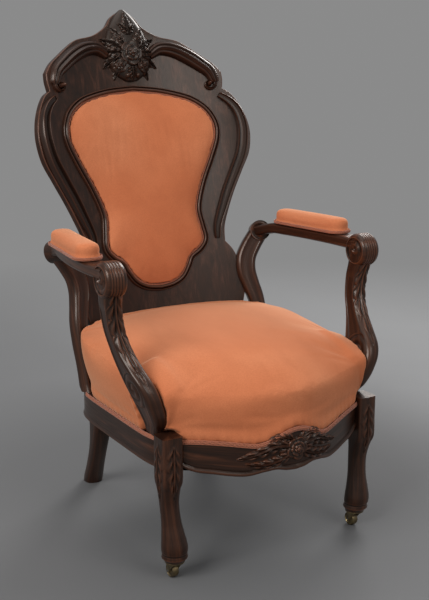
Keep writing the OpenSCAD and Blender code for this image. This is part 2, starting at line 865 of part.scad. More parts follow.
module rail_dowel_half(gap) {
    for (z = dowel_zs) {
        translate([front_leg_x - front_leg_w / 2, front_dowel_y, z + dowel_d * 0.6])
            rotate([0, 90, 0]) dowel(gap);
        translate([side_dowel_x, front_leg_y + front_leg_w / 2, z - dowel_d * 0.6])
            rotate([90, 0, 0]) dowel(gap);
        translate([rear_leg_x - rear_leg_w / 2, rear_dowel_y, z + dowel_d * 0.6])
            rotate([0, 90, 0]) dowel(gap);
        translate([rear_leg_x + rear_leg_w / 2, corner_dowel_y, z - dowel_d * 0.6])
            rotate([0, 90, 0]) dowel(gap);
    }
}

module rail_dowel_set(gap = 0) {
    rail_dowel_half(gap);
    mirrored_left() rail_dowel_half(gap);
}

module rail_dowels() color(beech) rail_dowel_set();

// Corner blocks fill the frame's inner corners and are cut to the rails and legs
block_h = rail_h * 0.8;
block_z = rail_top_h - rail_h / 2;

module front_block_plan() {
    corner = [front_leg_x - front_leg_w / 2, front_leg_y + front_leg_w / 2];
    difference() {
        intersection() {
            translate(corner) polygon([
                [rail_t, block_leg], [-block_leg, 0], [-block_leg, -rail_t * 2],
                [rail_t, -rail_t * 2]
            ]);
            offset(delta = -rail_t - seat_gap) frame_plan();
        }
        leg_plan(front_leg_x, front_leg_y, front_leg_w, seat_gap);
    }
}

module rear_block_plan() {
    corner = [rear_leg_x + rear_leg_w / 2, rear_inner_y];
    difference() {
        intersection() {
            translate(corner) polygon([
                [rail_t * 2, rail_t], [-block_leg, rail_t], [-block_leg, 0], [0, -block_leg],
                [rail_t * 2, -block_leg]
            ]);
            well_plan(-seat_gap);
        }
        leg_plan(rear_leg_x, rear_leg_y, rear_leg_w, seat_gap);
    }
}

module corner_block_half() {
    difference() {
        translate([0, 0, block_z - block_h / 2]) linear_extrude(block_h) {
            front_block_plan();
            rear_block_plan();
        }
        block_screw_half(hole_gap);
    }
}

module corner_blocks() {
    color(beech) {
        corner_block_half();
        mirrored_left() corner_block_half();
    }
}

// Screws through the blocks into the side rails
front_screw_y = front_leg_y + front_leg_w / 2 + block_leg * 0.3;
rear_screw_y = rear_inner_y - block_leg * 0.42;
screw_head_d = screw_d * 2;
screw_head_h = screw_d * 0.75;
screw_tip_x = half_frame_w - rail_t * 0.35;

module wood_screw(gap) {
    cylinder(d = screw_d + 2 * gap, h = screw_l + gap);
    translate([0, 0, -gap]) cylinder(d = screw_head_d + 2 * gap, h = screw_head_h + 2 * gap);
}

module block_screw_half(gap) {
    for (y = [front_screw_y, rear_screw_y])
        translate([screw_tip_x - screw_l, y, block_z]) rotate([0, 90, 0]) {
            wood_screw(gap);
            if (gap > 0)
                translate([0, 0, -block_leg]) cylinder(d = screw_head_d + 2 * gap, h = block_leg);
        }
}

module block_screw_set(gap = 0) {
    block_screw_half(gap);
    mirrored_left() block_screw_half(gap);
}

module block_screws() color(steel) block_screw_set();

// Legs

// Front leg: share of its height, shift forward and half width as shares of its top's side
front_leg_shares = [
    [0, 0.02, 0.47, 1], [0.05, 0.06, 0.57, 1], [0.12, 0.1, 0.6, 1], [0.21, 0.05, 0.53, 1],
    [0.32, -0.05, 0.45, 1], [0.46, -0.12, 0.43, 0.9], [0.58, -0.06, 0.47, 0.7],
    [0.66, 0, 0.5, 0.3]
];

module front_leg_r() {
    rows = curve(front_leg_shares, 2);
    color(rosewood) difference() {
        loft(concat(
            [
                for (p = rows) level_ring(
                    front_leg_x - front_leg_w * 0.25 * (1 - min(p[0] / 0.66, 1)),
                    front_leg_y - p[1] * front_leg_w,
                    mix(caster_h + seat_gap, front_leg_top, p[0]),
                    p[2] * front_leg_w,
                    p[2] * front_leg_w,
                    p[3]
                )
            ],
            [level_ring(front_leg_x, front_leg_y, front_leg_top,
                front_leg_w / 2, front_leg_w / 2, 0.3)]
        ));
        rail_dowel_set(hole_gap);
        caster_screw_set(hole_gap);
    }
}

module front_leg_l() mirrored_left() front_leg_r();

// Rear leg: share of its height, share of its splay and half width as a share of its side
rear_leg_shares = [
    [0, 1, 0.43, 0.9], [0.06, 0.92, 0.44, 0.9], [0.2, 0.68, 0.41, 0.9], [0.4, 0.36, 0.4, 0.8],
    [0.6, 0.12, 0.44, 0.6], [0.72, 0.02, 0.48, 0.4], [0.785, 0, 0.5, 0.2]
];

module rear_leg_r() {
    rows = curve(rear_leg_shares, 2);
    color(rosewood) difference() {
        loft(concat(
            [
                for (p = rows) level_ring(
                    rear_leg_x - p[1] * rear_leg_toe_in,
                    rear_leg_y + p[1] * rear_leg_splay,
                    p[0] * rail_top_h,
                    p[2] * rear_leg_w,
                    p[2] * rear_leg_w,
                    p[3]
                )
            ],
            [level_ring(rear_leg_x, rear_leg_y, rail_top_h, rear_leg_w / 2, rear_leg_w / 2, 0.2)]
        ));
        rail_dowel_set(hole_gap);
    }
}

module rear_leg_l() mirrored_left() rear_leg_r();

// Seat

// Y of the back sheet's front face at height z on the middle line, less the seat's gap
function seat_rear_y(z) = back_y + (z - rail_top_h) * tan(back_rake) - seat_back_gap;
sheet_curve = 1 / (2 * back_bend_r * cos(back_rake));

// Height of the seat's hard edge at y: it climbs from the front to the back
function seat_edge_z(y) =
    let (share = (y - frame_mid_y + frame_front) / (frame_front + frame_rear))
    mix(seat_edge_front_h, seat_edge_rear_h, pow(min(max(share, 0), 1), 0.7));

// Ring of the seat: t is 0 at the bottom edge and 1 at the hard edge, s shrinks it to the
// middle and rise lifts it towards the crown
function seat_ring(t, s = 1, rise = 0) = [
    for (i = [0 : outline_n - 1])
        let (
            swell = sin(108 * t),
            low = rail_top_h + seat_gap,
            rear_z = mix(low, seat_edge_rear_h, t),
            p = seat_point(360 * i / outline_n, half_frame_w + seat_bulge * swell,
                frame_front + seat_front_bulge * swell, seat_rear_y(rear_z) - frame_mid_y,
                front_bow, sheet_curve),
            mid = [0, frame_mid_y],
            q = mid + (p - mid) * s,
            dip = p[1] < frame_mid_y ? front_drop(q[0]) * (1 - t) : 0,
            edge = seat_edge_z(p[1])
        )
        [q[0], q[1], mix(mix(low, edge, t) - dip, seat_h, rise)]
];

seat_wall_shares = [0, 0.2, 0.5, 0.8, 1];
seat_crown_shares = [0.975, 0.93, 0.84, 0.7, 0.5, 0.25];

module cushion_form() {
    loft(concat(
        [seat_ring(0, 0.8)],
        [for (t = seat_wall_shares) seat_ring(t)],
        [for (s = seat_crown_shares) seat_ring(1, s, 1 - pow(s, 3.2))]
    ));
}

module spring_well_plan(inset = 0) {
    offset(delta = -seat_wall - inset)
        polygon([for (p = seat_ring(0)) [p[0], p[1]]]);
}

// Room under the seat for the front rail's shaped top
module front_rail_room() {
    translate([0, front_leg_y + front_leg_w / 2, rail_top_h + seat_gap]) rotate([90, 0, 0])
        linear_extrude(frame_w) polygon(concat(
            front_top, [[front_half, -2 * rail_h], [-front_half, -2 * rail_h]]));
}

// Room in the seat for the front leg's top, and for the arm support behind it
module corner_notch() {
    translate([0, 0, rail_top_h - rail_h])
        linear_extrude(rail_h + front_leg_rise + turn_gap) {
            leg_plan(front_leg_x, front_leg_y, front_leg_w, turn_gap);
            translate([support_x - support_w * 0.42 - turn_gap, front_leg_y])
                square([frame_w, support_y - front_leg_y]);
        }
    translate([front_half - rail_t / 2, front_leg_y, rail_top_h - rail_h])
        cube([frame_w, front_leg_w * 1.2, rail_h + seat_gap + run_gap]);
    support_slot();
}

module seat_cushion() {
    well_top = spring_top + web_t + 2 * seat_gap;
    color(velvet) difference() {
        cushion_form();
        translate([0, 0, rail_top_h - rail_h]) linear_extrude(well_top - rail_top_h + rail_h)
            spring_well_plan();
        front_rail_room();
        corner_notch();
        scroll_form(turn_gap);
        mirrored_left() {
            corner_notch();
            scroll_form(turn_gap);
        }
    }
}

// Cord along the lower edge of the seat's front and sides
module seat_gimp() {
    path = [
        for (i = [0 : outline_n - 1])
            let (
                t = 360 * i / outline_n,
                p = seat_point(t, half_frame_w + gimp_d / 2 + seat_gap,
                    frame_front + gimp_d / 2 + seat_gap, frame_rear, front_bow, 0)
            )
            [p[0], p[1], rail_top_h - gimp_d * 0.4 - (sin(t) < 0 ? front_drop(p[0]) : 0)]
    ];
    first = outline_n / 2 - 4;
    run = [for (i = [first : outline_n + 4]) path[i % outline_n]];
    color(gimp_cord) difference() {
        loft([
            for (i = [0 : len(run) - 1])
                tube_ring(run[i], path_direction(run, i), gimp_d / 2, 6)
        ]);
        for (side = [-1, 1])
            translate([0, 0, rail_top_h - rail_h]) linear_extrude(2 * rail_h)
                leg_plan(side * front_leg_x, front_leg_y, front_leg_w, seat_gap);
    }
}

module seat_hessian() {
    color(jute) translate([0, 0, spring_top + seat_gap]) linear_extrude(web_t)
        spring_well_plan(seat_gap);
}

// Springs: hourglass coils of six-sided wire, eight rings to a turn
spring_places = [
    [-spring_x, frame_mid_y - spring_run / 2], [spring_x, frame_mid_y - spring_run / 2],
    [0, frame_mid_y], [-spring_x, frame_mid_y + spring_run / 2],
    [spring_x, frame_mid_y + spring_run / 2]
];
spring_low = web_top + seat_gap + spring_wire_d / 2;
spring_high = spring_top - spring_wire_d / 2;
spring_steps = 8 * spring_turns;
spring_path = [
    for (i = [0 : spring_steps])
        let (
            t = i / spring_steps,
            r = mix(spring_d, spring_waist_d, sin(180 * t)) / 2,
            a = 360 * i / 8
        )
        [r * cos(a), r * sin(a), mix(spring_low, spring_high, t)]
];
function segment_gap(p, a, b) =
    let (d = b - a, t = max(0, min(1, (p - a) * d / (d * d)))) norm(p - a - d * t);
spring_least_gap = min([
    for (i = [0 : spring_steps - 7]) for (j = [i + 6 : spring_steps - 1])
        segment_gap(spring_path[i], spring_path[j], spring_path[j + 1])
]) - spring_wire_d;
echo(spring_least_gap = spring_least_gap);

module seat_springs() {
    color(steel) for (p = spring_places) translate(p) loft([
        for (i = [0 : spring_steps])
            tube_ring(spring_path[i], path_direction(spring_path, i), spring_wire_d / 2, 6)
    ]);
}

// Plan of what is tacked under the rails, clear of the legs
module under_plan() {
    difference() {
        well_plan(web_ledge - turn_gap);
        for (side = [-1, 1]) {
            leg_plan(side * front_leg_x, front_leg_y, front_leg_w, turn_gap);
            leg_plan(side * rear_leg_x, rear_leg_y, rear_leg_w, turn_gap);
        }
    }
}

// Webbing: straps front to back lie under straps side to side
module seat_webbing() {
    color(jute) {
        translate([0, 0, web_top - web_t]) linear_extrude(web_t) intersection() {
            for (i = [-1 : 2])
                translate([-frame_w, frame_mid_y + (i - 0.5) * web_pitch])
                    square([2 * frame_w, web_w]);
            under_plan();
        }
        translate([0, 0, web_top - 2 * web_t - seat_gap]) linear_extrude(web_t) intersection() {
            for (i = [-2 : 2])
                translate([i * web_pitch - web_w / 2, frame_mid_y - frame_w])
                    square([web_w, 2 * frame_w]);
            under_plan();
        }
    }
}

cover_t = 0.8;
module dust_cover() {
    color(cambric) translate([0, 0, web_top - 2 * web_t - 2 * seat_gap - cover_t])
        linear_extrude(cover_t) under_plan();
}

// Casters: plate and stud on the leg, fork turning on the stud, wheel turning in the fork

caster_x = front_leg_x - front_leg_w * 0.25;
caster_y = front_leg_y - front_leg_shares[0][1] * front_leg_w;
caster_screw_r = plate_d * 0.36;
caster_screw_l = 14;
caster_screw_d = 3;

module at_caster() translate([caster_x, caster_y, 0]) children();

module caster_screw_triple(gap = 0) {
    at_caster() for (i = [0 : 2]) rotate([0, 0, 120 * i + 90]) translate([caster_screw_r, 0, 0]) {
        translate([0, 0, caster_h - plate_t + seat_gap])
            cylinder(d = caster_screw_d + 2 * gap, h = caster_screw_l + gap, $fn = 24);
        translate([0, 0, caster_h - plate_t - gap])
            cylinder(d = caster_screw_d * 1.7 + 2 * gap, h = plate_t / 2 + 2 * gap, $fn = 24);
    }
}

module caster_screw_set(gap = 0) {
    caster_screw_triple(gap);
    mirrored_left() caster_screw_triple(gap);
}

module caster_screws() color(steel) caster_screw_set();

module caster_plate_r() {
    stud_low = wheel_d + caster_fork_gap;
    color(brass) difference() {
        at_caster() {
            translate([0, 0, caster_h - plate_t]) cylinder(d = plate_d, h = plate_t);
            translate([0, 0, stud_low]) cylinder(d = stud_d, h = caster_h - stud_low);
            translate([0, 0, stud_low]) cylinder(d = stud_head_d, h = stud_head_t);
        }
        caster_screw_triple(hole_gap);
    }
}

module caster_plate_l() mirrored_left() caster_plate_r();

fork_w = wheel_w + 2 * turn_gap + 2 * cheek_t;
boss_d = axle_d + 2 * cheek_t;

module caster_fork_r() {
    crown_low = fork_top_z - plate_t;
    slot_r = wheel_d / 2 + caster_fork_gap;
    color(brass) at_caster() difference() {
        union() {
            translate([0, 0, crown_low]) cylinder(d = fork_w + cheek_t, h = plate_t);
            rotate([90, 0, 90]) translate([0, 0, -fork_w / 2]) linear_extrude(fork_w) {
                translate([caster_trail, wheel_d / 2]) circle(d = boss_d);
                polygon([
                    [caster_trail - boss_d / 2, wheel_d / 2],
                    [caster_trail + boss_d / 2, wheel_d / 2],
                    [fork_w / 2, fork_top_z],
                    [-fork_w / 2, fork_top_z],
                    [-fork_w / 2, crown_low]
                ]);
            }
        }
        translate([-wheel_w / 2 - turn_gap, -plate_d, -cut_over])
            cube([wheel_w + 2 * turn_gap, 2 * plate_d, crown_low + cut_over]);
        translate([0, 0, -cut_over]) cylinder(d = stud_d + 2 * run_gap, h = 2 * fork_top_z);
        translate([0, 0, -cut_over]) cylinder(d = stud_head_d + 2 * turn_gap, h = crown_low + cut_over);
        translate([-fork_w, caster_trail, wheel_d / 2]) rotate([0, 90, 0])
            cylinder(d = axle_d, h = 2 * fork_w);
    }
}

module caster_fork_l() mirrored_left() caster_fork_r();

module caster_axle_r() {
    color(steel) at_caster()
        translate([-fork_w / 2, caster_trail, wheel_d / 2]) rotate([0, 90, 0])
            cylinder(d = axle_d, h = fork_w);
}

module caster_axle_l() mirrored_left() caster_axle_r();

module caster_wheel_r() {
    bore_r = axle_d / 2 + run_gap;
    tread_r = wheel_d / 2;
    round_r = wheel_w * 0.2;
    color(brass) at_caster() translate([0, caster_trail, wheel_d / 2]) rotate([0, 90, 0])
        rotate_extrude($fn = 64) polygon([
            [bore_r, -wheel_w / 2],
            [tread_r - round_r, -wheel_w / 2],
            [tread_r, -wheel_w / 2 + round_r],
            [tread_r, wheel_w / 2 - round_r],
            [tread_r - round_r, wheel_w / 2],
            [bore_r, wheel_w / 2]
        ]);
}

module caster_wheel_l() mirrored_left() caster_wheel_r();

back_shell();
panel_bead_l();
panel_bead_r();
rim_moulding_l();
rim_moulding_r();
crest_scroll_l();
crest_scroll_r();
crest_finial();
back_pad();
back_dowels();
back_scroll_l();
back_scroll_r();
arm_rail_l();
arm_rail_r();
arm_support_l();
arm_support_r();
arm_dowels();
arm_pad_l();
arm_pad_r();
arm_gimp_l();
arm_gimp_r();
front_rail();
side_rail_l();
side_rail_r();
rear_rail();
corner_blocks();
block_screws();
rail_dowels();
front_leg_l();
front_leg_r();
rear_leg_l();
rear_leg_r();
seat_cushion();
seat_gimp();
seat_hessian();
seat_springs();
seat_webbing();
dust_cover();
caster_plate_l();
caster_plate_r();
caster_screws();
caster_fork_l();
caster_fork_r();
caster_axle_l();
caster_axle_r();
caster_wheel_l();
caster_wheel_r();
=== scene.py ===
import json
import math

import bmesh
import bpy
import numpy as np
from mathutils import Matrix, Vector


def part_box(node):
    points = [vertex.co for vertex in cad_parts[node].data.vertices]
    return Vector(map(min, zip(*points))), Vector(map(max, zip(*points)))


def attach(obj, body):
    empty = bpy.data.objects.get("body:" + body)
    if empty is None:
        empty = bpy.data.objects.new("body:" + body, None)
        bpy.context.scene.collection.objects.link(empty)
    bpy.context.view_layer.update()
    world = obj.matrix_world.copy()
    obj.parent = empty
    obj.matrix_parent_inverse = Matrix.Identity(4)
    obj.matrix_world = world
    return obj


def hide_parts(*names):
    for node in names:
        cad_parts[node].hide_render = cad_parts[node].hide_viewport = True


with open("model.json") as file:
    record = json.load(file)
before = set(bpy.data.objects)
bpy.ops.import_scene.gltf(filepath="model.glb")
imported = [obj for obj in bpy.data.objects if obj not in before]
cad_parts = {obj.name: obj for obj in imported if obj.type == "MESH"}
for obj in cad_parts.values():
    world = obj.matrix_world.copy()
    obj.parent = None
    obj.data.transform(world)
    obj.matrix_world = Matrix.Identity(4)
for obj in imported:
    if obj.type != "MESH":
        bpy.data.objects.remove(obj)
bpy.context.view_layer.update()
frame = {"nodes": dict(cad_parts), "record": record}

# Sizes of the chair in metres, as its construction has them
overall_h = 1.110
rail_top = 0.285
seat_h = 0.446
arm_h = 0.628
rear_eye_h = 0.588
half_back_w = 0.273
back_rake = math.radians(16)
back_bend_r = 0.640
back_t = 0.014
back_y = 0.128
back_l = (overall_h - rail_top) / math.cos(back_rake)
bead_w = 0.013
bead_h = 0.009
bead_clear = 0.002
rim_w = 0.026
rim_h = 0.015
crest_h = 0.020
crest_eye_r = 0.015
curl_share = 0.36
finial_h = 0.038
back_pad_edge = 0.008
back_pad_crown = 0.024
half_frame_w = 0.250
frame_mid_y = -0.100
frame_front = 0.203
frame_rear = 0.252
front_bow = 0.072
frame_squareness = 6
rail_t = 0.028
rail_h = 0.060
front_bead_h, front_bead_r, front_bead_up = 0.0032, 0.0042, 0.0045
side_bead_h, side_bead_r, side_bead_up = 0.0025, 0.0038, 0.0040
groove_up = 0.0105
edge_ease = 0.0012
apron_drop = 0.020
front_dip = 0.020
front_crest_h = 0.033
front_crest_w = 0.180
front_leg = (0.235, -0.285)
front_leg_w = 0.044
front_leg_top = 0.300
knee_leaf_h = 0.0050
collar_h, collar_groove = 0.0022, 0.0018
rear_leg = (0.185, 0.128)
rear_leg_w = 0.050
rear_leg_splay = 0.112
rear_leg_toe_in = 0.024
arm_x = 0.302
arm_setback = 0.098
arm_rail_w = 0.044
arm_rail_t = 0.025
arm_drop = 0.012
arm_bow = 0.008
knuckle_w = 0.046
knuckle_h = 0.072
knuckle_ridge, knuckle_eye = 0.0045, 0.0040
flute_depth, flute_w = 0.0018, 0.0035
support_x = 0.232
support_setback = 0.050
support_w = 0.036
support_scroll_w = 0.092
support_leaf_h = 0.0055
support_field_depth = 0.0026
support_spiral_h = 0.0032
scroll_t = 0.034
scroll_hollow = 0.0035
volute_relief = 0.0035
arm_pad_l = 0.226
arm_pad_w = 0.058
arm_pad_t = 0.038
pad_knuckle_gap = 0.030
seat_bulge = 0.026
seat_front_bulge = 0.005
seat_edge_front_h = 0.376
seat_edge_rear_h = 0.430
seat_back_gap = 0.006
tack_low, tack_high = 0.010, 0.034
pucker_h, pucker_rise = 0.0009, 0.016
gimp_d = 0.006
cord_w, cord_pitch = 0.007, 0.009
cord_reach, cord_lift, cord_level = 0.0012, 0.0015, 0.0045
braid_w, braid_pitch = 0.010, 0.011
braid_lift = 0.0006
braid_turn = math.radians(33)
wheel_d = 0.030
wheel_w = 0.015
caster_trail = 0.010
seat_gap = 0.0003
turn_gap = 0.0005

knuckle_y = front_leg[1] + arm_setback
support_y = front_leg[1] + support_setback
knuckle_z = arm_h - knuckle_h / 2
arm_rail_top = arm_h - arm_drop
arm_rail_z = arm_rail_top - arm_rail_t / 2
caster_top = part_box("caster_plate_r")[1].z


# Curves

def curve(points, steps):
    """Smooth curve through the points: each span is a cubic blend of its four nearest points."""
    p = np.asarray(points, float)
    q = np.vstack([p[:1], p, p[-1:]])
    t = (np.arange(steps) / steps)[None, :, None]
    a, b, c, d = q[:-3, None], q[1:-2, None], q[2:-1, None], q[3:, None]
    body = (2 * b + (c - a) * t + (2 * a - 5 * b + 4 * c - d) * t**2
            + (3 * b - a - 3 * c + d) * t**3) / 2
    return np.vstack([body.reshape(-1, p.shape[1]), p[-1:]])


def even(path, count, closed=False):
    """Points at equal distances along the path."""
    p = np.asarray(path, float)
    p = np.vstack([p, p[:1]]) if closed else p
    s = np.concatenate([[0], np.cumsum(np.linalg.norm(np.diff(p, axis=0), axis=1))])
    t = np.linspace(0, s[-1], count, endpoint=not closed)
    return np.stack([np.interp(t, s, p[:, k]) for k in range(p.shape[1])], 1)


def unit(v):
    return v / (np.linalg.norm(v, axis=-1, keepdims=True) + 1e-12)


def directions(path, closed=False):
    """Unit directions along a path."""
    return unit(np.roll(path, -1, 0) - np.roll(path, 1, 0) if closed else np.gradient(path, axis=0))


def path_normals(path, closed=False):
    """Unit normals to the left of a flat path."""
    d = directions(path, closed)
    return np.stack([-d[:, 1], d[:, 0]], 1)


def level_normals(path, closed=False):
    """Level unit normals to the right of a path whose points have three coordinates."""
    return np.pad(-path_normals(path[:, :2], closed), ((0, 0), (0, 1)))


def curl(path, radius, turns, hand):
    """Path carried on into a spiral to one side, whose radius shrinks to curl_share each turn."""
    d = unit(path[-1] - path[-2])
    normal = np.array([-d[1], d[0]]) * hand
    centre = path[-1] + normal * radius
    start = math.atan2(-normal[1], -normal[0])
    t = np.linspace(0, turns, 48)[1:]
    r = radius * curl_share**t
    a = start + hand * 2 * math.pi * t
    spiral = centre + np.stack([r * np.cos(a), r * np.sin(a)], 1)
    return np.vstack([path, spiral]), r, centre


def mix(a, b, t):
    return a + (b - a) * t


def smooth_step(low, high, x):
    """0 below low, 1 above high, and a cubic between."""
    t = np.clip((x - low) / (high - low), 0, 1)
    return t * t * (3 - 2 * t)


def half_round(s):
    """Half circle: 1 at 0, and 0 from -1 and 1 outwards."""
    return np.sqrt(np.clip(1 - s * s, 0, 1))


def peak(x, width):
    """Soft peak: 1 at 0, and next to nothing from two widths outwards."""
    return np.exp(-(x / width)**2)


# Surfaces

def neighbours(p, closed_path):
    """The four neighbours of each point of a grid that closes around, and along too if asked."""
    right, left = np.roll(p, -1, 1), np.roll(p, 1, 1)
    if closed_path:
        return right, left, np.roll(p, -1, 0), np.roll(p, 1, 0)
    after = np.concatenate([p[1:], 2 * p[-1:] - p[-2:-1]])
    before = np.concatenate([2 * p[:1] - p[1:2], p[:-1]])
    return right, left, after, before


def cross_normals(right, left, after, before):
    """Unit cross product of a grid's two central differences."""
    return unit(np.cross(right - left, after - before))


def displaced(rings, amount):
    """Grid moved by amount along its normals, which are turned to point away from the inside."""
    normal = cross_normals(*neighbours(rings, False))
    outward = ((rings - rings.mean(1, keepdims=True)) * normal).sum()
    return rings + normal * math.copysign(1, outward) * amount[..., None]


def softened(rings, passes):
    """Grid whose rings are averaged with the rings before and after, the ends kept."""
    for _ in range(passes):
        rings = np.concatenate([
            rings[:1], (rings[:-2] + 2 * rings[1:-1] + rings[2:]) / 4, rings[-1:]])
    return rings


# Wear that a curvature of one per metre adds
wear_per_bend = 0.0011


def skin(rings, closed_path=False):
    """Faces of a grid of rings: quads between neighbours, fans to the middles of both ends, pointing out.

    Its grain coordinates are metres around and along. Its wear is high on ridges and low in hollows.
    """
    p = np.asarray(rings, float)
    m, n = p.shape[:2]
    right, left, after, before = neighbours(p, closed_path)
    around = np.concatenate([[0], np.cumsum(np.linalg.norm(right - p, axis=2).mean(0))])
    along = np.concatenate([[0], np.cumsum(np.linalg.norm(after - p, axis=2).mean(1))])
    j, i = np.meshgrid(np.arange(m if closed_path else m - 1), np.arange(n), indexing="ij")
    i = i[..., None] + [0, 1, 1, 0]
    j = j[..., None] + [0, 0, 1, 1]
    quads = (j % m * n + i % n).reshape(-1, 4)
    quad_uv = np.stack([around[i], along[j]], -1).reshape(-1, 4, 2)
    verts = p.reshape(-1, 3)
    tris = np.zeros((0, 3), int)
    tri_uv = np.zeros((0, 3, 2))
    if not closed_path:
        verts = np.vstack([verts, p[0].mean(0), p[-1].mean(0)])
        k = np.arange(n)
        k2 = (k + 1) % n
        last = (m - 1) * n
        tris = np.vstack([
            np.stack([k2, k, np.full(n, m * n)], 1),
            np.stack([last + k, last + k2, np.full(n, m * n + 1)], 1)])
        here, there = around[:-1], around[1:]
        middle = (here + there) / 2
        low, high = 0 * middle, 0 * middle + along[-2]
        tri_uv = np.moveaxis(np.array([
            [[there, low], [here, low], [middle, low - 0.01]],
            [[here, high], [there, high], [middle, high + 0.01]]]), 3, 1).reshape(-1, 3, 2)
    corners = np.vstack([verts[quads][:, [0, 1, 2]], verts[quads][:, [0, 2, 3]], verts[tris]])
    volume = (corners[:, 0] * np.cross(corners[:, 1], corners[:, 2])).sum()
    normal = cross_normals(right, left, after, before)
    bend = 0
    for a, b in ((right, left), (after, before)):
        reach = np.linalg.norm(a - p, axis=2) * np.linalg.norm(b - p, axis=2) + 1e-9
        bend = bend + ((a + b - 2 * p) * normal).sum(2) / reach
    if volume < 0:
        quads, quad_uv = quads[:, ::-1], quad_uv[:, ::-1]
        tris, tri_uv = tris[:, ::-1], tri_uv[:, ::-1]
        bend = -bend
    wear = np.clip(0.5 - wear_per_bend * bend, 0, 1)
    wear = (wear + np.roll(wear, 1, 1) + np.roll(wear, -1, 1)) / 3
    wear = np.concatenate([wear.reshape(-1), np.full(len(verts) - m * n, 0.5)])
    return verts, quads, tris, quad_uv, tri_uv, wear


def added(name, data):
    """Object with this data, in the scene."""
    obj = bpy.data.objects.new(name, data)
    bpy.context.scene.collection.objects.link(obj)
    return obj


def placed(name, mesh, nodes, body="chair"):
    """Object that rides its body and stands for the given nodes."""
    obj = added(name, mesh)
    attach(obj, body)
    if nodes:
        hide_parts(*nodes)
    return obj


def set_points(mesh, points):
    mesh.vertices.foreach_set("co", points.astype(np.float32).ravel())
    mesh.update()


def shade_smooth(mesh):
    mesh.polygons.foreach_set("use_smooth", np.ones(len(mesh.polygons), bool))


def piece(name, grids, finish, slot, nodes=(), body="chair", loops=(), sharp=38):
    """One object from open grids and from loops that close on themselves."""
    skins = [skin(g) for g in grids] + [skin(g, True) for g in loops]
    starts = np.cumsum([0] + [len(s[0]) for s in skins[:-1]])
    verts = np.vstack([s[0] for s in skins])
    quads = np.vstack([s[1] + k for s, k in zip(skins, starts)])
    tris = np.vstack([s[2] + k for s, k in zip(skins, starts)])
    mesh = bpy.data.meshes.new(name)
    mesh.vertices.add(len(verts))
    set_points(mesh, verts)
    mesh.loops.add(4 * len(quads) + 3 * len(tris))
    mesh.loops.foreach_set("vertex_index", np.concatenate([quads.ravel(), tris.ravel()]).astype(np.int32))
    mesh.polygons.add(len(quads) + len(tris))
    mesh.polygons.foreach_set("loop_start", np.concatenate([
        4 * np.arange(len(quads)), 4 * len(quads) + 3 * np.arange(len(tris))]).astype(np.int32))
    mesh.update(calc_edges=True)
    shade_smooth(mesh)
    grain = mesh.uv_layers.new(name="grain")
    grain.data.foreach_set("uv", np.concatenate(
        [np.vstack([s[3] for s in skins]).ravel(), np.vstack([s[4] for s in skins]).ravel()]
    ).astype(np.float32))
    wear = mesh.attributes.new("wear", "FLOAT", "POINT")
    wear.data.foreach_set("value", np.concatenate([s[5] for s in skins]).astype(np.float32))
    mesh.set_sharp_from_angle(angle=math.radians(sharp))
    mesh.materials.append(finish)
    return placed(name, mesh, nodes, body)


def pair(name, grids, finish, slot, nodes=(), loops=(), **options):
    """A right-hand piece and its mirror image; nodes are named without their side."""
    for side, flip in (("r", 1), ("l", -1)):
        sided, sided_loops = ([g * [flip, 1, 1] for g in group] for group in (grids, loops))
        piece(f"{name}_{side}", sided, finish, slot, [f"{node}_{side}" for node in nodes],
              loops=sided_loops, **options)


# Finishes

class Finish:
    """Builds a material's nodes: each call adds one node and links or sets its inputs."""

    def __init__(self, name):
        self.material = bpy.data.materials.new(name)
        self.material.use_nodes = True
        self.tree = self.material.node_tree
        self.shader = self.tree.nodes["Principled BSDF"]

    def add(self, kind, settings=None, **inputs):
        node = self.tree.nodes.new("ShaderNode" + kind)
        for key, value in (settings or {}).items():
            setattr(node, key, value)
        for key, value in inputs.items():
            self.put(node.inputs[int(key[1:]) if key[0] == "i" and key[1:].isdigit() else key], value)
        return node

    def put(self, socket, value):
        """Links the value if it is another node's output, or else sets it; a colour gets its alpha."""
        if isinstance(value, bpy.types.NodeSocket):
            self.tree.links.new(value, socket)
        else:
            socket.default_value = (*value, 1) if socket.type == "RGBA" else value

    def place(self, kind, scale):
        """Coordinates: grain follows the piece, Object is its place in the chair."""
        if kind == "grain":
            source = self.add("UVMap", {"uv_map": "grain"}).outputs["UV"]
        else:
            source = self.add("TexCoord").outputs["Object"]
        return self.add("Mapping", Vector=source, Scale=scale).outputs["Vector"]

    def noise(self, kind, scale, detail, roughness=0.6, distortion=0.0):
        return self.add("TexNoise", Vector=self.place(kind, scale), Scale=1.0, Detail=detail,
                        Roughness=roughness, Distortion=distortion).outputs["Fac"]

    def ramp(self, factor, *stops):
        """Colour ramp from (place, colour) pairs, in which a number is a grey."""
        node = self.add("ValToRGB", Fac=factor)
        while len(node.color_ramp.elements) < len(stops):
            node.color_ramp.elements.new(0.5)
        for element, (where, colour) in zip(node.color_ramp.elements, stops):
            element.position = where
            element.color = (*(colour if isinstance(colour, tuple) else grey(colour)), 1)
        return node.outputs["Color"]

    def blend(self, factor, a, b):
        return self.add("Mix", {"data_type": "RGBA"}, i0=factor, i6=a, i7=b).outputs[2]

    def cover(self, colour, other, factor, *stops):
        """Colour with another laid over it, as much as the ramp of the factor says."""
        return self.blend(self.ramp(factor, *stops), colour, other)

    def math(self, operation, a, b):
        return self.add("Math", {"operation": operation}, i0=a, i1=b).outputs[0]

    def bump(self, height, strength, distance, normal=None):
        node = self.add("Bump", Height=height, Strength=strength, Distance=distance)
        if normal:
            self.put(node.inputs["Normal"], normal)
        return node.outputs["Normal"]

    def finish(self, **inputs):
        for key, value in inputs.items():
            self.put(self.shader.inputs[key.replace("_", " ")], value)
        return self.material


def grey(value):
    return (value, value, value)


polish_tint = (1.0, 0.86, 0.74)


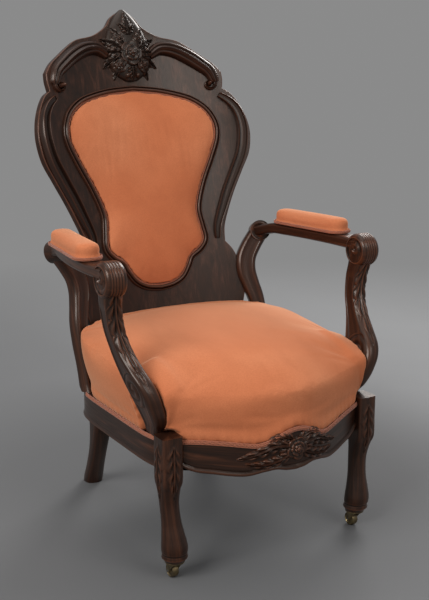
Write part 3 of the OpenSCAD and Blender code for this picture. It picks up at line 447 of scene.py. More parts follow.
def polished_wood(name, place="grain", dark=(0.0075, 0.0038, 0.0028), middle=(0.030, 0.0112, 0.0064),
                  light=(0.088, 0.031, 0.0150), stretch=(46, 3.2, 46), worn=True):
    """Rosewood: dark figure stretched along the grain, fine pores, polish, and wear on the ridges."""
    f = Finish(name)
    figure = f.noise(place, stretch, 6.0, 0.62, 1.4)
    fine = f.noise(place, (stretch[0] * 9, stretch[1] * 4, stretch[2] * 9), 3.0)
    clouds = f.noise(place, (7, 5, 7), 2.0)
    colour = f.ramp(figure, (0.32, dark), (0.5, middle), (0.66, light))
    colour = f.cover(colour, dark, fine, (0.38, 0.55), (0.6, 0))
    colour = f.cover(colour, middle, clouds, (0.35, 0), (0.7, 0.35))
    rough = f.ramp(fine, (0.3, 0.42), (0.7, 0.3))
    if worn:
        wear = f.add("Attribute", {"attribute_name": "wear"}).outputs["Fac"]
        hollow = f.ramp(wear, (0.12, 1), (0.44, 0))
        ridge = f.ramp(wear, (0.58, 0), (0.95, 0.55))
        colour = f.blend(ridge, colour, tuple(1.9 * c for c in light))
        colour = f.blend(hollow, colour, (0.0035, 0.0025, 0.002))
        rough = f.blend(hollow, rough, grey(0.62))
    normal = f.bump(fine, 0.25, 0.0004)
    return f.finish(Base_Color=colour, Roughness=rough, Normal=normal, Coat_Weight=0.22,
                    Coat_Roughness=0.2, Coat_Tint=polish_tint, Specular_IOR_Level=0.36,
                    Specular_Tint=polish_tint)


def plain_wood(name, base, dark):
    """Bare wood: cloudy grain and long pores."""
    f = Finish(name)
    grain = f.noise("Object", (30, 30, 30), 5.0, 0.6, 2.0)
    pores = f.noise("Object", (400, 400, 60), 2.0)
    colour = f.cover(f.ramp(grain, (0.35, dark), (0.65, base)), dark, pores, (0.4, 0.3), (0.6, 0))
    return f.finish(Base_Color=colour, Roughness=0.6, Normal=f.bump(pores, 0.2, 0.0004))


def velvet_cloth(name, base, shade, bright):
    """Velvet: short pile laid over in soft strokes, deep where it is faced and pale along its edges,
    where a painted sheen lightens it.
    """
    f = Finish(name)
    patches = f.noise("Object", (4, 4, 4), 1.0, 0.5, 0.3)
    brushed = f.noise("Object", (26, 9, 26), 2.0, 0.5, 0.3)
    pile = f.noise("Object", (1500, 1500, 1500), 2.0)
    tufts = f.noise("Object", (420, 300, 420), 2.0)
    colour = f.cover(base, shade, patches, (0.30, 0.26), (0.60, 0))
    colour = f.cover(colour, bright, patches, (0.45, 0), (0.75, 0.34))
    colour = f.cover(colour, shade, brushed, (0.30, 0.20), (0.60, 0))
    colour = f.cover(colour, shade, tufts, (0.36, 0.22), (0.58, 0))
    colour = f.cover(colour, shade, pile, (0.35, 0.40), (0.6, 0))
    # Painted sheen: the colour turns paler as the cloth is seen more edge-on.
    painted_sheen_factor = f.add("LayerWeight", Blend=0.42).outputs["Facing"]
    colour = f.cover(colour, bright, painted_sheen_factor, (0.3, 0), (0.65, 0.16), (0.95, 0.8))
    normal = f.bump(pile, 0.4, 0.0006, f.bump(tufts, 0.2, 0.0008, f.bump(brushed, 0.16, 0.0014)))
    return f.finish(Base_Color=colour, Roughness=0.9, Normal=normal, Sheen_Weight=0.35,
                    Sheen_Roughness=0.35, Sheen_Tint=(1.0, 0.66, 0.46), Specular_IOR_Level=0.12)


def twisted_cord(name, base, shade):
    """Silk cord: slanting threads that follow the strand."""
    f = Finish(name)
    threads = f.add("TexWave", {"wave_type": "BANDS", "bands_direction": "DIAGONAL"},
                    Vector=f.place("grain", (1, 1, 1)), Scale=260.0, Distortion=1.0,
                    Detail=2.0).outputs["Fac"]
    return f.finish(Base_Color=f.ramp(threads, (0.2, shade), (0.75, base)), Roughness=0.7,
                    Normal=f.bump(threads, 0.5, 0.0006), Sheen_Weight=0.3)


def woven_cloth(name, base, shade, pitch):
    """Plain weave: two sets of bands crossed, each a thread's pitch apart."""
    f = Finish(name)
    where = f.place("Object", (1, 1, 1))
    warp, weft = (f.add("TexWave", {"bands_direction": way}, Vector=where, Scale=0.31 / pitch,
                        Distortion=0.6).outputs["Fac"] for way in "XY")
    weave = f.math("MULTIPLY", warp, weft)
    stain = f.noise("Object", (12, 12, 12), 3.0)
    colour = f.cover(f.ramp(weave, (0.05, shade), (0.5, base)), shade, stain, (0.3, 0.4), (0.7, 0))
    return f.finish(Base_Color=colour, Roughness=0.9, Normal=f.bump(weave, 0.4, 0.0005))


def aged_metal(name, bright, dull, rough):
    """Handled metal: clouds of tarnish over a bright ground."""
    f = Finish(name)
    clouds = f.noise("Object", (60, 60, 60), 5.0, 0.65)
    scratches = f.noise("Object", (90, 900, 900), 2.0)
    return f.finish(Base_Color=f.ramp(clouds, (0.35, dull), (0.65, bright)), Metallic=1.0,
                    Roughness=f.ramp(clouds, (0.3, rough + 0.2), (0.7, rough)),
                    Normal=f.bump(scratches, 0.15, 0.0003))


rosewood = polished_wood("rosewood")
carved_rosewood = polished_wood("carved_rosewood", dark=(0.0065, 0.0036, 0.0028),
                                middle=(0.024, 0.0095, 0.0060), light=(0.062, 0.0235, 0.0130))
finial_rosewood = polished_wood("finial_rosewood", dark=(0.0048, 0.0036, 0.003),
                                middle=(0.015, 0.0085, 0.0064), light=(0.040, 0.0185, 0.012))
frame_wood = polished_wood("frame_rosewood", place="Object", stretch=(40, 40, 6), worn=False)
beech = plain_wood("beech", (0.48, 0.27, 0.12), (0.32, 0.17, 0.075))
velvet = velvet_cloth("orange_velvet", (0.635, 0.202, 0.085), (0.39, 0.106, 0.042), (0.74, 0.33, 0.17))
gimp_cord = twisted_cord("gimp_cord", (0.47, 0.145, 0.062), (0.24, 0.065, 0.03))
jute = woven_cloth("jute", (0.45, 0.31, 0.15), (0.22, 0.14, 0.06), 0.0022)
cambric = woven_cloth("cambric", (0.012, 0.012, 0.012), (0.006, 0.006, 0.006), 0.0008)
steel = aged_metal("steel", (0.42, 0.42, 0.43), (0.16, 0.14, 0.12), 0.35)
brass = aged_metal("brass", (0.36, 0.27, 0.13), (0.14, 0.11, 0.07), 0.3)


# Stuffing: padded pieces are swollen by cloth under pressure

pressure = 4.0
cloth_frames = 20


def triples(items, key):
    """One vector of each item, as rows."""
    values = np.empty(3 * len(items), np.float32)
    items.foreach_get(key, values)
    return values.reshape(-1, 3).astype(float)


def applied(obj):
    """The object's mesh with its modifiers worked in, and the modifiers gone."""
    mesh = bpy.data.meshes.new_from_object(obj.evaluated_get(bpy.context.evaluated_depsgraph_get()))
    old = obj.data
    obj.modifiers.clear()
    obj.data = mesh
    bpy.data.meshes.remove(old)
    mesh.name = obj.name
    return mesh


def stuffed(obj, voxel, cap, held, shrink, seated):
    """Swells a padded piece: remeshed, drawn in by shrink, then blown up as cloth under pressure.

    held gives 1 where the cover is tacked and 0 where it is free; no point moves further than cap.
    seated takes the finished points and puts them back beside their neighbours.
    """
    remesh = obj.modifiers.new("even_mesh", "REMESH")
    remesh.mode = "VOXEL"
    remesh.voxel_size = voxel
    mesh = applied(obj)
    start = triples(mesh.vertices, "co")
    loose = 1 - np.clip(held(start), 0, 1)
    start = start - triples(mesh.vertex_normals, "vector") * (shrink * loose)[:, None]
    set_points(mesh, start)
    pinned = obj.vertex_groups.new(name="tacked")
    pinned.add(np.flatnonzero(loose < 0.5).tolist(), 1.0, "REPLACE")
    cloth = obj.modifiers.new("stuffing", "CLOTH")
    cloth.settings.use_pressure = True
    cloth.settings.uniform_pressure_force = pressure
    cloth.settings.effector_weights.gravity = 0
    cloth.settings.vertex_group_mass = pinned.name
    cloth.settings.tension_stiffness = 12
    cloth.settings.compression_stiffness = 12
    cloth.settings.bending_stiffness = 0.4
    cloth.point_cache.frame_start = 1
    cloth.point_cache.frame_end = cloth_frames
    for step in range(1, cloth_frames + 1):
        bpy.context.scene.frame_set(step)
    swollen = triples(applied(obj).vertices, "co")
    bpy.context.scene.frame_set(1)
    move = swollen - start
    reach = np.linalg.norm(move, axis=1, keepdims=True) + 1e-9
    points = start + move * np.minimum(1, cap / reach)
    set_points(obj.data, points)
    obj.vertex_groups.clear()
    smooth = obj.modifiers.new("smooth", "SUBSURF")
    smooth.levels = smooth.render_levels = 1
    applied(obj)
    mesh = obj.data
    set_points(mesh, seated(triples(mesh.vertices, "co")))
    shade_smooth(mesh)


# The bent back

def on_back(x, v, h):
    """Point on the bent sheet: x across, v up its slope from the rail tops, h out towards the sitter."""
    x, v, h = np.broadcast_arrays(*(np.asarray(value, float) for value in (x, v, h)))
    turn = np.arcsin(x / back_bend_r)
    r = back_bend_r - h
    y = r * np.cos(turn) - back_bend_r
    return np.stack([
        r * np.sin(turn),
        back_y + y * math.cos(back_rake) + v * math.sin(back_rake),
        rail_top + v * math.cos(back_rake) - y * math.sin(back_rake)
    ], -1)


def back_place(shares):
    return np.asarray(shares, float) * [half_back_w, back_l]


# Rim as shares of half the back's width and of its slope, in runs between cusps, and the share of
# the panel's outline that each run ends beside
back_rim_shares = [
    [[0, 1], [0.11, 0.978], [0.18, 0.95], [0.31, 0.925], [0.48, 0.91], [0.58, 0.889],
     [0.67, 0.866], [0.765, 0.84], [0.83, 0.812]],
    [[0.83, 0.812], [0.833, 0.79], [0.82, 0.765]],
    [[0.82, 0.765], [0.88, 0.75], [0.94, 0.718], [0.985, 0.677], [1, 0.63], [0.97, 0.577],
     [0.892, 0.528], [0.8, 0.472], [0.73, 0.423], [0.675, 0.376], [0.66, 0.334]],
    [[0.66, 0.334], [0.72, 0.305], [0.765, 0.255], [0.775, 0.2], [0.74, 0.155]],
    [[0.74, 0.155], [0.66, 0.127], [0.55, 0.12], [0.45, 0.13], [0.38, 0.16]],
    [[0.38, 0.16], [0.33, 0.148], [0.27, 0.13], [0.23, 0.1], [0.217, 0.06], [0.217, 0]],
    [[0.217, 0], [0.1, 0], [0, 0]]
]
rim_partner_shares = [0, 0.19, 0.235, 0.66, 0.72, 0.79, 0.96, 1]
rim_step = 0.0035
rim_round = 0.0022
panel_shares = [
    [0, 0.77], [0.22, 0.763], [0.404, 0.749], [0.534, 0.732], [0.639, 0.703], [0.693, 0.665],
    [0.686, 0.627], [0.614, 0.574], [0.527, 0.519], [0.462, 0.468], [0.433, 0.427],
    [0.448, 0.383], [0.458, 0.348], [0.404, 0.325], [0.318, 0.307], [0.274, 0.283],
    [0.209, 0.255], [0.116, 0.24], [0, 0.235]
]
panel_middle = np.array([0, 0.53 * back_l])
panel_half = back_place(curve(panel_shares, 12))


def whole_outline(half):
    """Half outline on +X from top to bottom, closed by its mirror image."""
    return np.vstack([half, (half[1:-1] * [-1, 1])[::-1]])


def inset(outline, amount):
    """Closed outline moved inwards by amount along its own normals."""
    return outline - path_normals(outline, True) * amount


def laminated_back():
    """Sheet: rings go from the pad's middle out over the front to the rim, round its edge, and back."""
    runs, partners = [], []
    for k, shares in enumerate(back_rim_shares):
        run = back_place(curve(shares, 14))
        length = np.linalg.norm(np.diff(run, axis=0), axis=1).sum()
        run = even(run, max(6, int(length / rim_step)))
        runs.append(run[:-1])
        partners.append(np.linspace(rim_partner_shares[k], rim_partner_shares[k + 1], len(run))[:-1])
    rim_half = np.vstack(runs + [run[-1:]])
    reach = np.concatenate(partners + [rim_partner_shares[-1:]])
    panel_even = even(panel_half, 400)
    at = np.linspace(0, 1, 400)
    partner_half = np.stack([np.interp(reach, at, panel_even[:, k]) for k in range(2)], 1)
    rim, partner = whole_outline(rim_half), whole_outline(partner_half)
    edge = [(rim_round * (1 - math.sin(a)), -rim_round * (1 - math.cos(a)))
            for a in np.linspace(0, math.pi / 2, 5)]
    depth = edge + [(0, -back_t * t) for t in (0.35, 0.5, 0.65)]
    depth += [(inward, -back_t - h) for inward, h in edge[::-1]]
    front_edge = inset(rim, edge[0][0])
    face = [panel_middle + (partner - panel_middle) * share for share in np.linspace(0.08, 0.9, 6)]
    face += [mix(partner, front_edge, share) for share in np.linspace(0, 1, 9)[:-1]]
    rings = [on_back(*p.T, 0) for p in face]
    rings += [on_back(*inset(rim, inward).T, h) for inward, h in depth]
    rings += [on_back(*p.T, -back_t) for p in face[::-1]]
    rings = np.array(rings)
    rings[..., 2] = np.maximum(rings[..., 2], rail_top + seat_gap)
    return rings


back_veneer = polished_wood("back_veneer", place="Object", stretch=(38, 38, 2.6),
                            light=(0.075, 0.029, 0.017))
piece("laminated_back", [laminated_back()], back_veneer, "rosewood", ["back_shell"])


# Mouldings and carving on a ground

def bead_and_cove(s):
    """A broad bead to one side and a small one to the other, with a hollow between them."""
    beads = np.maximum(half_round((s - 0.34) / 0.66), 0.62 * half_round((s + 0.68) / 0.32))
    return np.maximum(beads, 0.25 * half_round(s))


def reeds(s):
    """Three reeds side by side under a low arch."""
    return half_round(s) * (0.72 + 0.28 * np.abs(np.cos(1.5 * np.pi * s)))


def hollow_band(s):
    """Two edge beads with a wide cove between them."""
    cove = (0.35 + 0.45 * s * s) * half_round(s)
    return np.where(np.abs(s) >= 1, 0, np.maximum(half_round((np.abs(s) - 0.78) / 0.22), cove))


def laid_along(ground, path, reach, h, closed=False):
    """Rings along a path on a ground: reach is how far out a point is across it, h how high."""
    p = path[:, None] + path_normals(path, closed)[:, None] * reach[..., None]
    return ground(p[..., 0], p[..., 1], seat_gap + h)


def moulding(path, half_w, height, profile, sides=19):
    """Moulding on the sheet: its profile spans -1 to 1 across the path, and its under side is flat."""
    s = -np.cos(np.linspace(0, math.pi, sides))
    reach = np.concatenate([s, [0.5, 0, -0.5]]) * half_w[:, None]
    return laid_along(on_back, path, reach, np.concatenate([profile(s), np.zeros(3)]) * height[:, None])


def swell(t, end_share):
    """Full in the middle and end_share at both ends."""
    return mix(end_share, 1, np.sqrt(np.sin(np.pi * np.clip(t, 0, 1))))


def leaf_relief(u, s, lobes, cut=0.3):
    """Height of a carved leaf, u along the rib and s across: a cushion with a rib and slanting veins."""
    body = np.clip(1 - np.abs(s)**2.2, 0, 1)**0.6
    vein = np.cos(2 * np.pi * lobes * (u - 0.22 * np.abs(s)))
    rise = np.sin(np.pi * np.clip(u, 0, 1)**0.7)**0.5
    carved = vein * np.abs(s)**0.7 + 1.1 * peak(s, 0.11) - peak(np.abs(s) - 0.22, 0.12)
    return body * rise * (1 - 1.1 * cut + cut * carved)


def scallop(u, lobes):
    """Share of a leaf's width along its rib: it swells and draws in once for each lobe."""
    return 0.7 + 0.3 * np.abs(np.sin(np.pi * lobes * u - 0.6))**0.6


leaf_tip_w = 0.0006


def leaf(ground, rib, width, height, lobes=5, count=72):
    """Acanthus leaf laid along its rib: its edge is scalloped once for each lobe."""
    rib = even(curve(rib, 12), count)
    u = np.linspace(0, 1, count)
    half_w = width * np.sin(np.pi * np.clip(0.06 + 0.94 * u, 0, 1)**0.62)**0.75
    half_w = half_w * scallop(u, lobes) + leaf_tip_w
    s = np.linspace(-1, 1, 17)
    h = np.zeros((count, 19))
    h[:, 1:16] = leaf_relief(u[:, None], s[None, 1:-1], lobes) * height
    return laid_along(ground, rib, np.concatenate([s, [0.4, -0.4]]) * half_w[:, None], h)


def rosette(ground, x, v, radius, height, turn):
    """Carved flower: layers of petals, each a ring of lobes that stands over the one outside it."""
    petals, layers = 5, 3
    around = np.linspace(0, 2 * np.pi, 80, endpoint=False)[None, :]
    r = np.linspace(0.03, 1, 34)[:, None]
    edge = 1 - 0.14 * (1 - np.abs(np.cos(petals * around / 2 + turn))**0.6)
    up = 0.32 * half_round(r * 0.96) * np.ones_like(around)
    for k in range(layers):
        lobe = np.abs(np.cos(petals * around / 2 + turn + k * np.pi / 2))**0.5
        reach = (1 - k / layers) * (0.80 + 0.20 * lobe)
        face = 0.30 + 0.62 * (k / layers) + 0.20 * (r / np.maximum(reach, 0.05))**2 * lobe \
            - 0.08 * (1 - lobe)
        up = mix(up, face, 1 / (1 + np.exp(-(reach * 0.97 - r) / 0.018)))
    heart = 1 / (1 + np.exp((r - 0.16) / 0.02))
    up = mix(up, 1.0 - 1.5 * r**2, heart)
    up = up * (1 - smooth_step(0.93, 1.0, r * np.ones_like(around)))
    under = np.array([0.66, 0.33])[:, None]
    across, along = (np.concatenate([r * edge * way, under * way]) * radius
                     for way in (np.cos(around), np.sin(around)))
    return ground(x + across, v + along, seat_gap + height * np.concatenate([up, 0 * under * around]))


def boss(ground, x, v, radius, height):
    """Carved berry: half an ellipsoid on the ground, closed by a ring of half its width."""
    around = np.linspace(0, 2 * np.pi, 20, endpoint=False)[None, :]
    a = np.linspace(0.08, np.pi / 2, 8)
    reach = np.append(np.sin(a), 0.5)[:, None] * radius
    rise = np.append(np.cos(a), 0)[:, None] * height
    return ground(x + reach * np.cos(around), v + reach * np.sin(around), seat_gap + rise + 0 * around)


panel_loop = whole_outline(panel_half)


def panel_bead():
    """Bead round the panel: a loop of moulding just outside the pad's outline."""
    path = even(inset(panel_loop, -(bead_w / 2 + bead_clear)), 420, closed=True)
    s = -np.cos(np.linspace(0, math.pi, 19))
    up = np.concatenate([bead_and_cove(-s), [0, 0]])
    return laid_along(on_back, path, np.concatenate([s, [0.4, -0.4]]) * bead_w / 2, bead_h * up, True)


piece("panel_bead", [], carved_rosewood, "carved_rosewood", ["panel_bead_l", "panel_bead_r"],
      loops=[panel_bead()])

rim_line_shares = [
    [0.78, 0.748], [0.86, 0.727], [0.915, 0.7], [0.94, 0.667], [0.94, 0.63], [0.906, 0.58],
    [0.83, 0.53], [0.744, 0.478], [0.672, 0.428], [0.612, 0.382], [0.595, 0.344]
]
crest_line_shares = [
    [0.765, 0.785], [0.73, 0.815], [0.65, 0.839], [0.54, 0.865], [0.42, 0.884], [0.3, 0.888],
    [0.2, 0.87]
]


def rim_moulding():
    """Side moulding: a hollow band along the lobe."""
    path = even(back_place(curve(rim_line_shares, 12)), 150)
    size = swell(np.linspace(0, 1, 150), 0.4)
    return [moulding(path, rim_w / 2 * size, rim_h * size, hollow_band, sides=25)]


def crest_scroll():
    """Crest moulding: three reeds that rise to the finial from a spiral whose eye is a berry."""
    half_w = rim_w * 0.7
    path = even(curve(back_place(crest_line_shares), 14), 60)
    width = half_w * swell(np.linspace(0, 1, 60), 0.55)
    path, r, centre = curl(path[::-1], crest_eye_r, 1.2, -1)
    width = np.concatenate([width[::-1], np.minimum(width[0], 0.34 * r)])
    high = crest_h * np.clip(width / half_w, 0.45, 1)
    return [moulding(path[::-1], width[::-1], high[::-1], reeds),
            boss(on_back, *centre, 0.36 * crest_eye_r, crest_h * 1.15)]


pair("rim_moulding", rim_moulding(), carved_rosewood, "carved_rosewood", ["rim_moulding"])
pair("crest_scroll", crest_scroll(), carved_rosewood, "carved_rosewood", ["crest_scroll"])


finial_shares = curve([[0.8, 0.06], [0.815, 0.13], [0.84, 0.19], [0.875, 0.215], [0.91, 0.2],
                       [0.94, 0.165], [0.965, 0.12], [0.985, 0.07], [0.998, 0.02]], 6)
finial_v = finial_shares[:, 0] * back_l
finial_half_w = finial_shares[:, 1] * half_back_w
finial_middle = 0.872 * back_l


def finial_arch(half_w):
    return 0.5 * finial_h * (half_w / finial_half_w.max())**0.6


def on_finial(x, v, h):
    """Point over the finial's cushion, which is an arch across, as wide as the finial is at v."""
    half_w = np.interp(v, finial_v, finial_half_w)
    return on_back(x, v, h + finial_arch(half_w) * half_round(x / half_w))


# Carving on each side of the finial, from its middle: leaves as an angle in degrees, length and
# width, then roses and berries as x, v, radius and height
finial_leaves = [(64, 0.062, 0.013), (32, 0.058, 0.014), (2, 0.055, 0.014), (-30, 0.056, 0.014),
                 (-62, 0.058, 0.013)]
finial_roses = [(0.033, -0.026, 0.020, 0.013), (0.027, 0.036, 0.016, 0.012)]
finial_berries = [(0.047, 0.008, 0.0065, 0.009), (0.014, -0.052, 0.0058, 0.008)]
finial_leaf_h = 0.010
finial_leaf_start = 0.012


def bouquet():
    """Finial: a low cushion that carries roses and berries among leaves that reach over its edge."""
    made = [moulding(np.stack([0 * finial_v, finial_v], 1), finial_half_w, finial_arch(finial_half_w),
                     half_round)]
    middle = finial_middle
    for side in (-1, 1):
        for angle, length, width in finial_leaves:
            a = math.radians(angle)
            way = np.array([side * math.cos(a), math.sin(a)])
            across = np.array([-way[1], way[0]]) * side
            start = np.array([side * finial_leaf_start, middle]) + way * finial_leaf_start
            rib = [start, start + way * length * 0.55 + across * 0.004, start + way * length]
            made.append(leaf(on_finial, rib, width, finial_leaf_h, count=44))
        for k, (x, up, radius, height) in enumerate(finial_roses):
            made.append(rosette(on_finial, side * x, middle + up, radius, height, turn=(k + 1) * side))
        for x, up, radius, height in finial_berries:
            made.append(boss(on_finial, side * x, middle + up, radius, height))
        rib = [(side * x, middle + up) for x, up in ((0.004, 0.050), (0.014, 0.066), (0.023, 0.071))]
        made.append(leaf(on_finial, rib, 0.0085, 0.0085, lobes=4, count=36))
    for low, high, width in ((0.044, 0.101, 0.0135), (-0.030, -0.064, 0.013)):
        rib = [(0, middle + low), (0, middle + mix(low, high, 0.6)), (0, middle + high)]
        made.append(leaf(on_finial, rib, width, finial_leaf_h, count=48))
    made.append(rosette(on_finial, 0, middle, 0.031, 0.018, turn=0.3))
    return made


piece("crest_bouquet", bouquet(), finial_rosewood, "carved_rosewood", ["crest_finial"])


def back_cushion():
    """Back pad: rings shrink to the panel's middle and rise from a tight edge to a broad crown."""
    outline = even(panel_loop, 260, closed=True)
    t = np.linspace(0, 1, 34)
    share = np.cos(t * np.pi / 2)**0.62
    rise = np.sin(t * np.pi / 2)**1.1
    rows = [(s, 0) for s in (0.3, 0.65, 0.97)]
    rows += [(None, back_pad_edge * h_share) for h_share in (0.0, 0.25, 0.5, 0.75)]
    rows += [(s, back_pad_edge * min(1, 0.75 + up) + back_pad_crown * up * 0.9)
             for s, up in zip(share[1:-1], rise[1:-1])]
    rings = []
    for s, h in rows:
        p = outline if s is None else panel_middle + (outline - panel_middle) * s
        rings.append(on_back(p[:, 0], p[:, 1], seat_gap + h))
    return softened(np.array(rings), 3)


def above_sheet(points):
    """How far points stand out from the bent sheet, and the outward direction there."""
    level = points - [0, back_y, rail_top]
    y = level[:, 1] * math.cos(back_rake) - level[:, 2] * math.sin(back_rake)
    radius = np.hypot(points[:, 0], y + back_bend_r)
    sine, cosine = points[:, 0] / radius, (y + back_bend_r) / radius
    out = -np.stack([sine, cosine * math.cos(back_rake), -cosine * math.sin(back_rake)], 1)
    return back_bend_r - radius, out


def tacked_back(points):
    return 1 - smooth_step(0.004, 0.013, above_sheet(points)[0])


def on_sheet(points):
    """Back pad points kept in front of the sheet."""
    height, out = above_sheet(points)
    return points + out * np.maximum(0, seat_gap - height)[:, None]


back_pad = piece("back_cushion", [back_cushion()], velvet, "velvet", ["back_pad"], sharp=180)
stuffed(back_pad, voxel=0.005, cap=0.010, held=tacked_back, shrink=0.005, seated=on_sheet)


# Gimp: three strands that cross like a plait

def strand(path, normal, radius, closed):
    """Tube round a path: each ring is a circle square to the path."""
    ahead = directions(path, closed)
    u = unit(normal - (normal * ahead).sum(1, keepdims=True) * ahead)
    v = np.cross(ahead, u)
    a = np.linspace(0, 2 * np.pi, 8, endpoint=False)[None, :, None]
    return path[:, None] + radius * (np.cos(a) * u[:, None] + np.sin(a) * v[:, None])


def plait(path, normal, width, pitch, closed=False):
    """Braid along a path: two strands weave from side to side between two edge cords."""
    length = np.linalg.norm(np.diff(path, axis=0), axis=1).sum()
    count = max(24, int(length / pitch * 9))
    route = even(np.hstack([path, normal]), count, closed)
    path, normal = route[:, :3], route[:, 3:]
    side = unit(np.cross(directions(path, closed), normal))
    a = np.linspace(0, 2 * np.pi * max(1, round(length / pitch)), count, endpoint=not closed)
    r = width * 0.16
    made = []
    for phase in (0, np.pi):
        sway = np.sin(a + phase)[:, None] * (width / 2 - 2.2 * r)
        lift = (r + 0.6 * r * np.cos(a + phase))[:, None]
        made.append(strand(path + side * sway + normal * lift, normal, r, closed))
    for edge in (-1, 1):
        made.append(strand(path + side * edge * (width / 2 - r) + normal * r, normal, r * 0.9, closed))
    return made


def pad_gimp():
    """Gimp round the back pad, lying on the sheet between pad and bead."""
    x, v = even(inset(panel_loop, -cord_reach), 500, closed=True).T
    path = on_back(x, v, cord_lift)
    out = unit(on_back(x, v, 2 * cord_lift) - path)
    return plait(path, out, cord_w, cord_pitch, True)


piece("back_gimp", [], gimp_cord, "gimp", loops=pad_gimp(), sharp=180)


# Scroll brackets beside the back

scroll_line_shares = [
    [0.845, 0, 0.47], [0.85, 0.14, 0.44], [0.86, 0.3, 0.46], [0.852, 0.44, 0.52],
    [0.822, 0.56, 0.58], [0.802, 0.66, 0.64], [0.815, 0.755, 0.66], [0.87, 0.845, 0.65],
    [0.96, 0.95, 0.62]
]
scroll_rise = (rear_eye_h - rail_top) / math.cos(back_rake)


def rounded_ring(a, b, radius, n):
    """Points round a rectangle of half sides a and b whose corners are quarter circles."""
    q = np.repeat(np.arange(4), n)
    t = np.pi / 2 * (q + (np.tile(np.arange(n), 4) + 0.5) / n)
    sx = np.where((q == 0) | (q == 3), 1, -1)
    sy = np.where(q < 2, 1, -1)
    a, b, radius = (np.asarray(value, float)[..., None] for value in (a, b, radius))
    x = sx * (a - radius) + radius * np.cos(t)
    y = sy * (b - radius) + radius * np.sin(t)
    return np.stack(np.broadcast_arrays(x, y), -1)


def volute_drum(origin, across, up, out, radius, low, high):
    """Round boss whose face carries a spiral ridge; low and high are its reach along out."""
    turns = 1.6
    a = np.linspace(0, 2 * np.pi, 72, endpoint=False)
    rows = [(0.5, low), (0.9, low), (1, low + 0.002), (1, high - 0.004), (0.985, high - 0.0015)]
    for r in np.linspace(0.95, 0.04, 30):
        ridge = 0.5 + 0.5 * np.cos(2 * np.pi * turns * r - a)
        rows.append((r, high + volute_relief * (ridge**0.7 * (1 - 0.4 * r) + 0.9 * peak(r, 0.2) - 1)))
    return np.array([
        origin + np.outer(r * radius * np.cos(a), across) + np.outer(r * radius * np.sin(a), up)
        + np.outer(h + 0 * a, out) for r, h in rows])


def back_scroll():
    """Bracket: rounded section along an S, hollowed along its face, with a volute at the arm's end."""
    line = curve([[p[0] * half_back_w, p[1] * scroll_rise, p[2] * scroll_t]
                  for p in scroll_line_shares], 10)
    line = even(line, 90)
    line = np.vstack([[line[0, 0], line[0, 1] - scroll_t, line[0, 2]], line])
    ring = rounded_ring(line[:, 2], scroll_t / 2, scroll_t * 0.34, 8)
    share = ring[..., 0] / line[:, 2][:, None]
    hollow = scroll_hollow * np.clip(1 - (share / 0.62)**4, 0, 1) * (ring[..., 1] < 0)
    p = line[:, None, :2] - path_normals(line[:, :2])[:, None] * ring[..., :1]
    rings = on_back(p[..., 0], p[..., 1], -ring[..., 1] - hollow - back_t / 4)
    rings[..., 2] = np.maximum(rings[..., 2], rail_top + seat_gap)
    eye = line[-1]
    turn = math.asin(eye[0] / back_bend_r)
    across = np.array([math.cos(turn), -math.sin(turn) * math.cos(back_rake),
                       math.sin(turn) * math.sin(back_rake)])
    up = np.array([0, math.sin(back_rake), math.cos(back_rake)])
    out = -np.cross(up, across)
    out = out if out[1] < 0 else -out
    origin = on_back(eye[0], eye[1], 0)
    drum = volute_drum(origin, across, up, out, scroll_t * 0.72, -scroll_t * 0.62 - back_t / 4,
                       scroll_t * 0.62 - back_t / 4)
    return [rings, drum]


pair("back_scroll", back_scroll(), rosewood, "rosewood", ["back_scroll"])


# Arms

rear_eye = on_back(scroll_line_shares[-1][0] * half_back_w, scroll_line_shares[-1][1] * scroll_rise, 0)
arm_line_shares = [
    [0, 0, 0], [0.25, 0.5, 0], [0.5, 0.6, 0], [0.72, 0.35, 0], [0.84, 0.1, 0.08], [1, 0, 1]
]
arm_line = even(curve([
    [mix(arm_x, rear_eye[0], p[0]**2) + arm_bow * p[1], mix(knuckle_y, rear_eye[1], p[0]),
     mix(arm_rail_z, rear_eye[2], p[2])] for p in arm_line_shares
], 12), 90)


def arm_rail():
    """Rail: rounded section whose sides carry a shallow flute, and its knuckle."""
    ring = rounded_ring(arm_rail_w / 2, arm_rail_t / 2, arm_rail_t * 0.36, 9)
    flute = flute_depth * peak(ring[..., 1], flute_w) * (np.abs(ring[..., 0]) > arm_rail_w * 0.3)
    x = ring[..., 0] - np.sign(ring[..., 0]) * flute
    rings = np.stack([arm_line[:, None, 0] + x, arm_line[:, None, 1] + 0 * x,
                      arm_line[:, None, 2] + ring[..., 1]], -1)
    return [rings, knuckle()]


def knuckle():
    """Roll across the arm's front: its ends carry a spiral ridge, and its barrel is reeded."""
    a = np.linspace(0, 2 * np.pi, 80, endpoint=False)
    r = knuckle_h / 2
    turns = 2.1
    end = []
    for share in np.linspace(0.05, 0.72, 26):
        ridge = 0.5 + 0.5 * np.cos(2 * np.pi * turns * share + a)
        bulge = knuckle_ridge * ridge**0.7 * (1.15 - share) + knuckle_eye * peak(share, 0.13)
        end.append((knuckle_w / 2 - knuckle_ridge + bulge, share))
    shoulder = [(-0.97, 0.76), (-0.92, 0.84), (-0.82, 0.92), (-0.72, 0.955), (-0.63, 0.97)]
    barrel = [(x, 0.958 + 0.042 * abs(math.cos(math.pi * x / 0.26))**0.6)
              for x in np.linspace(-0.55, 0.55, 45)]
    rows = [(-x, share) for x, share in end]
    rows += [(x * knuckle_w / 2, share) for x, share in shoulder + barrel]
    rows += [(-x * knuckle_w / 2, share) for x, share in shoulder[::-1]]
    rows += end[::-1]
    return np.array([
        np.stack([x + 0 * a, r * share * np.cos(a), r * share * np.sin(a)], -1) for x, share in rows
    ]) + [arm_x, knuckle_y, knuckle_z]


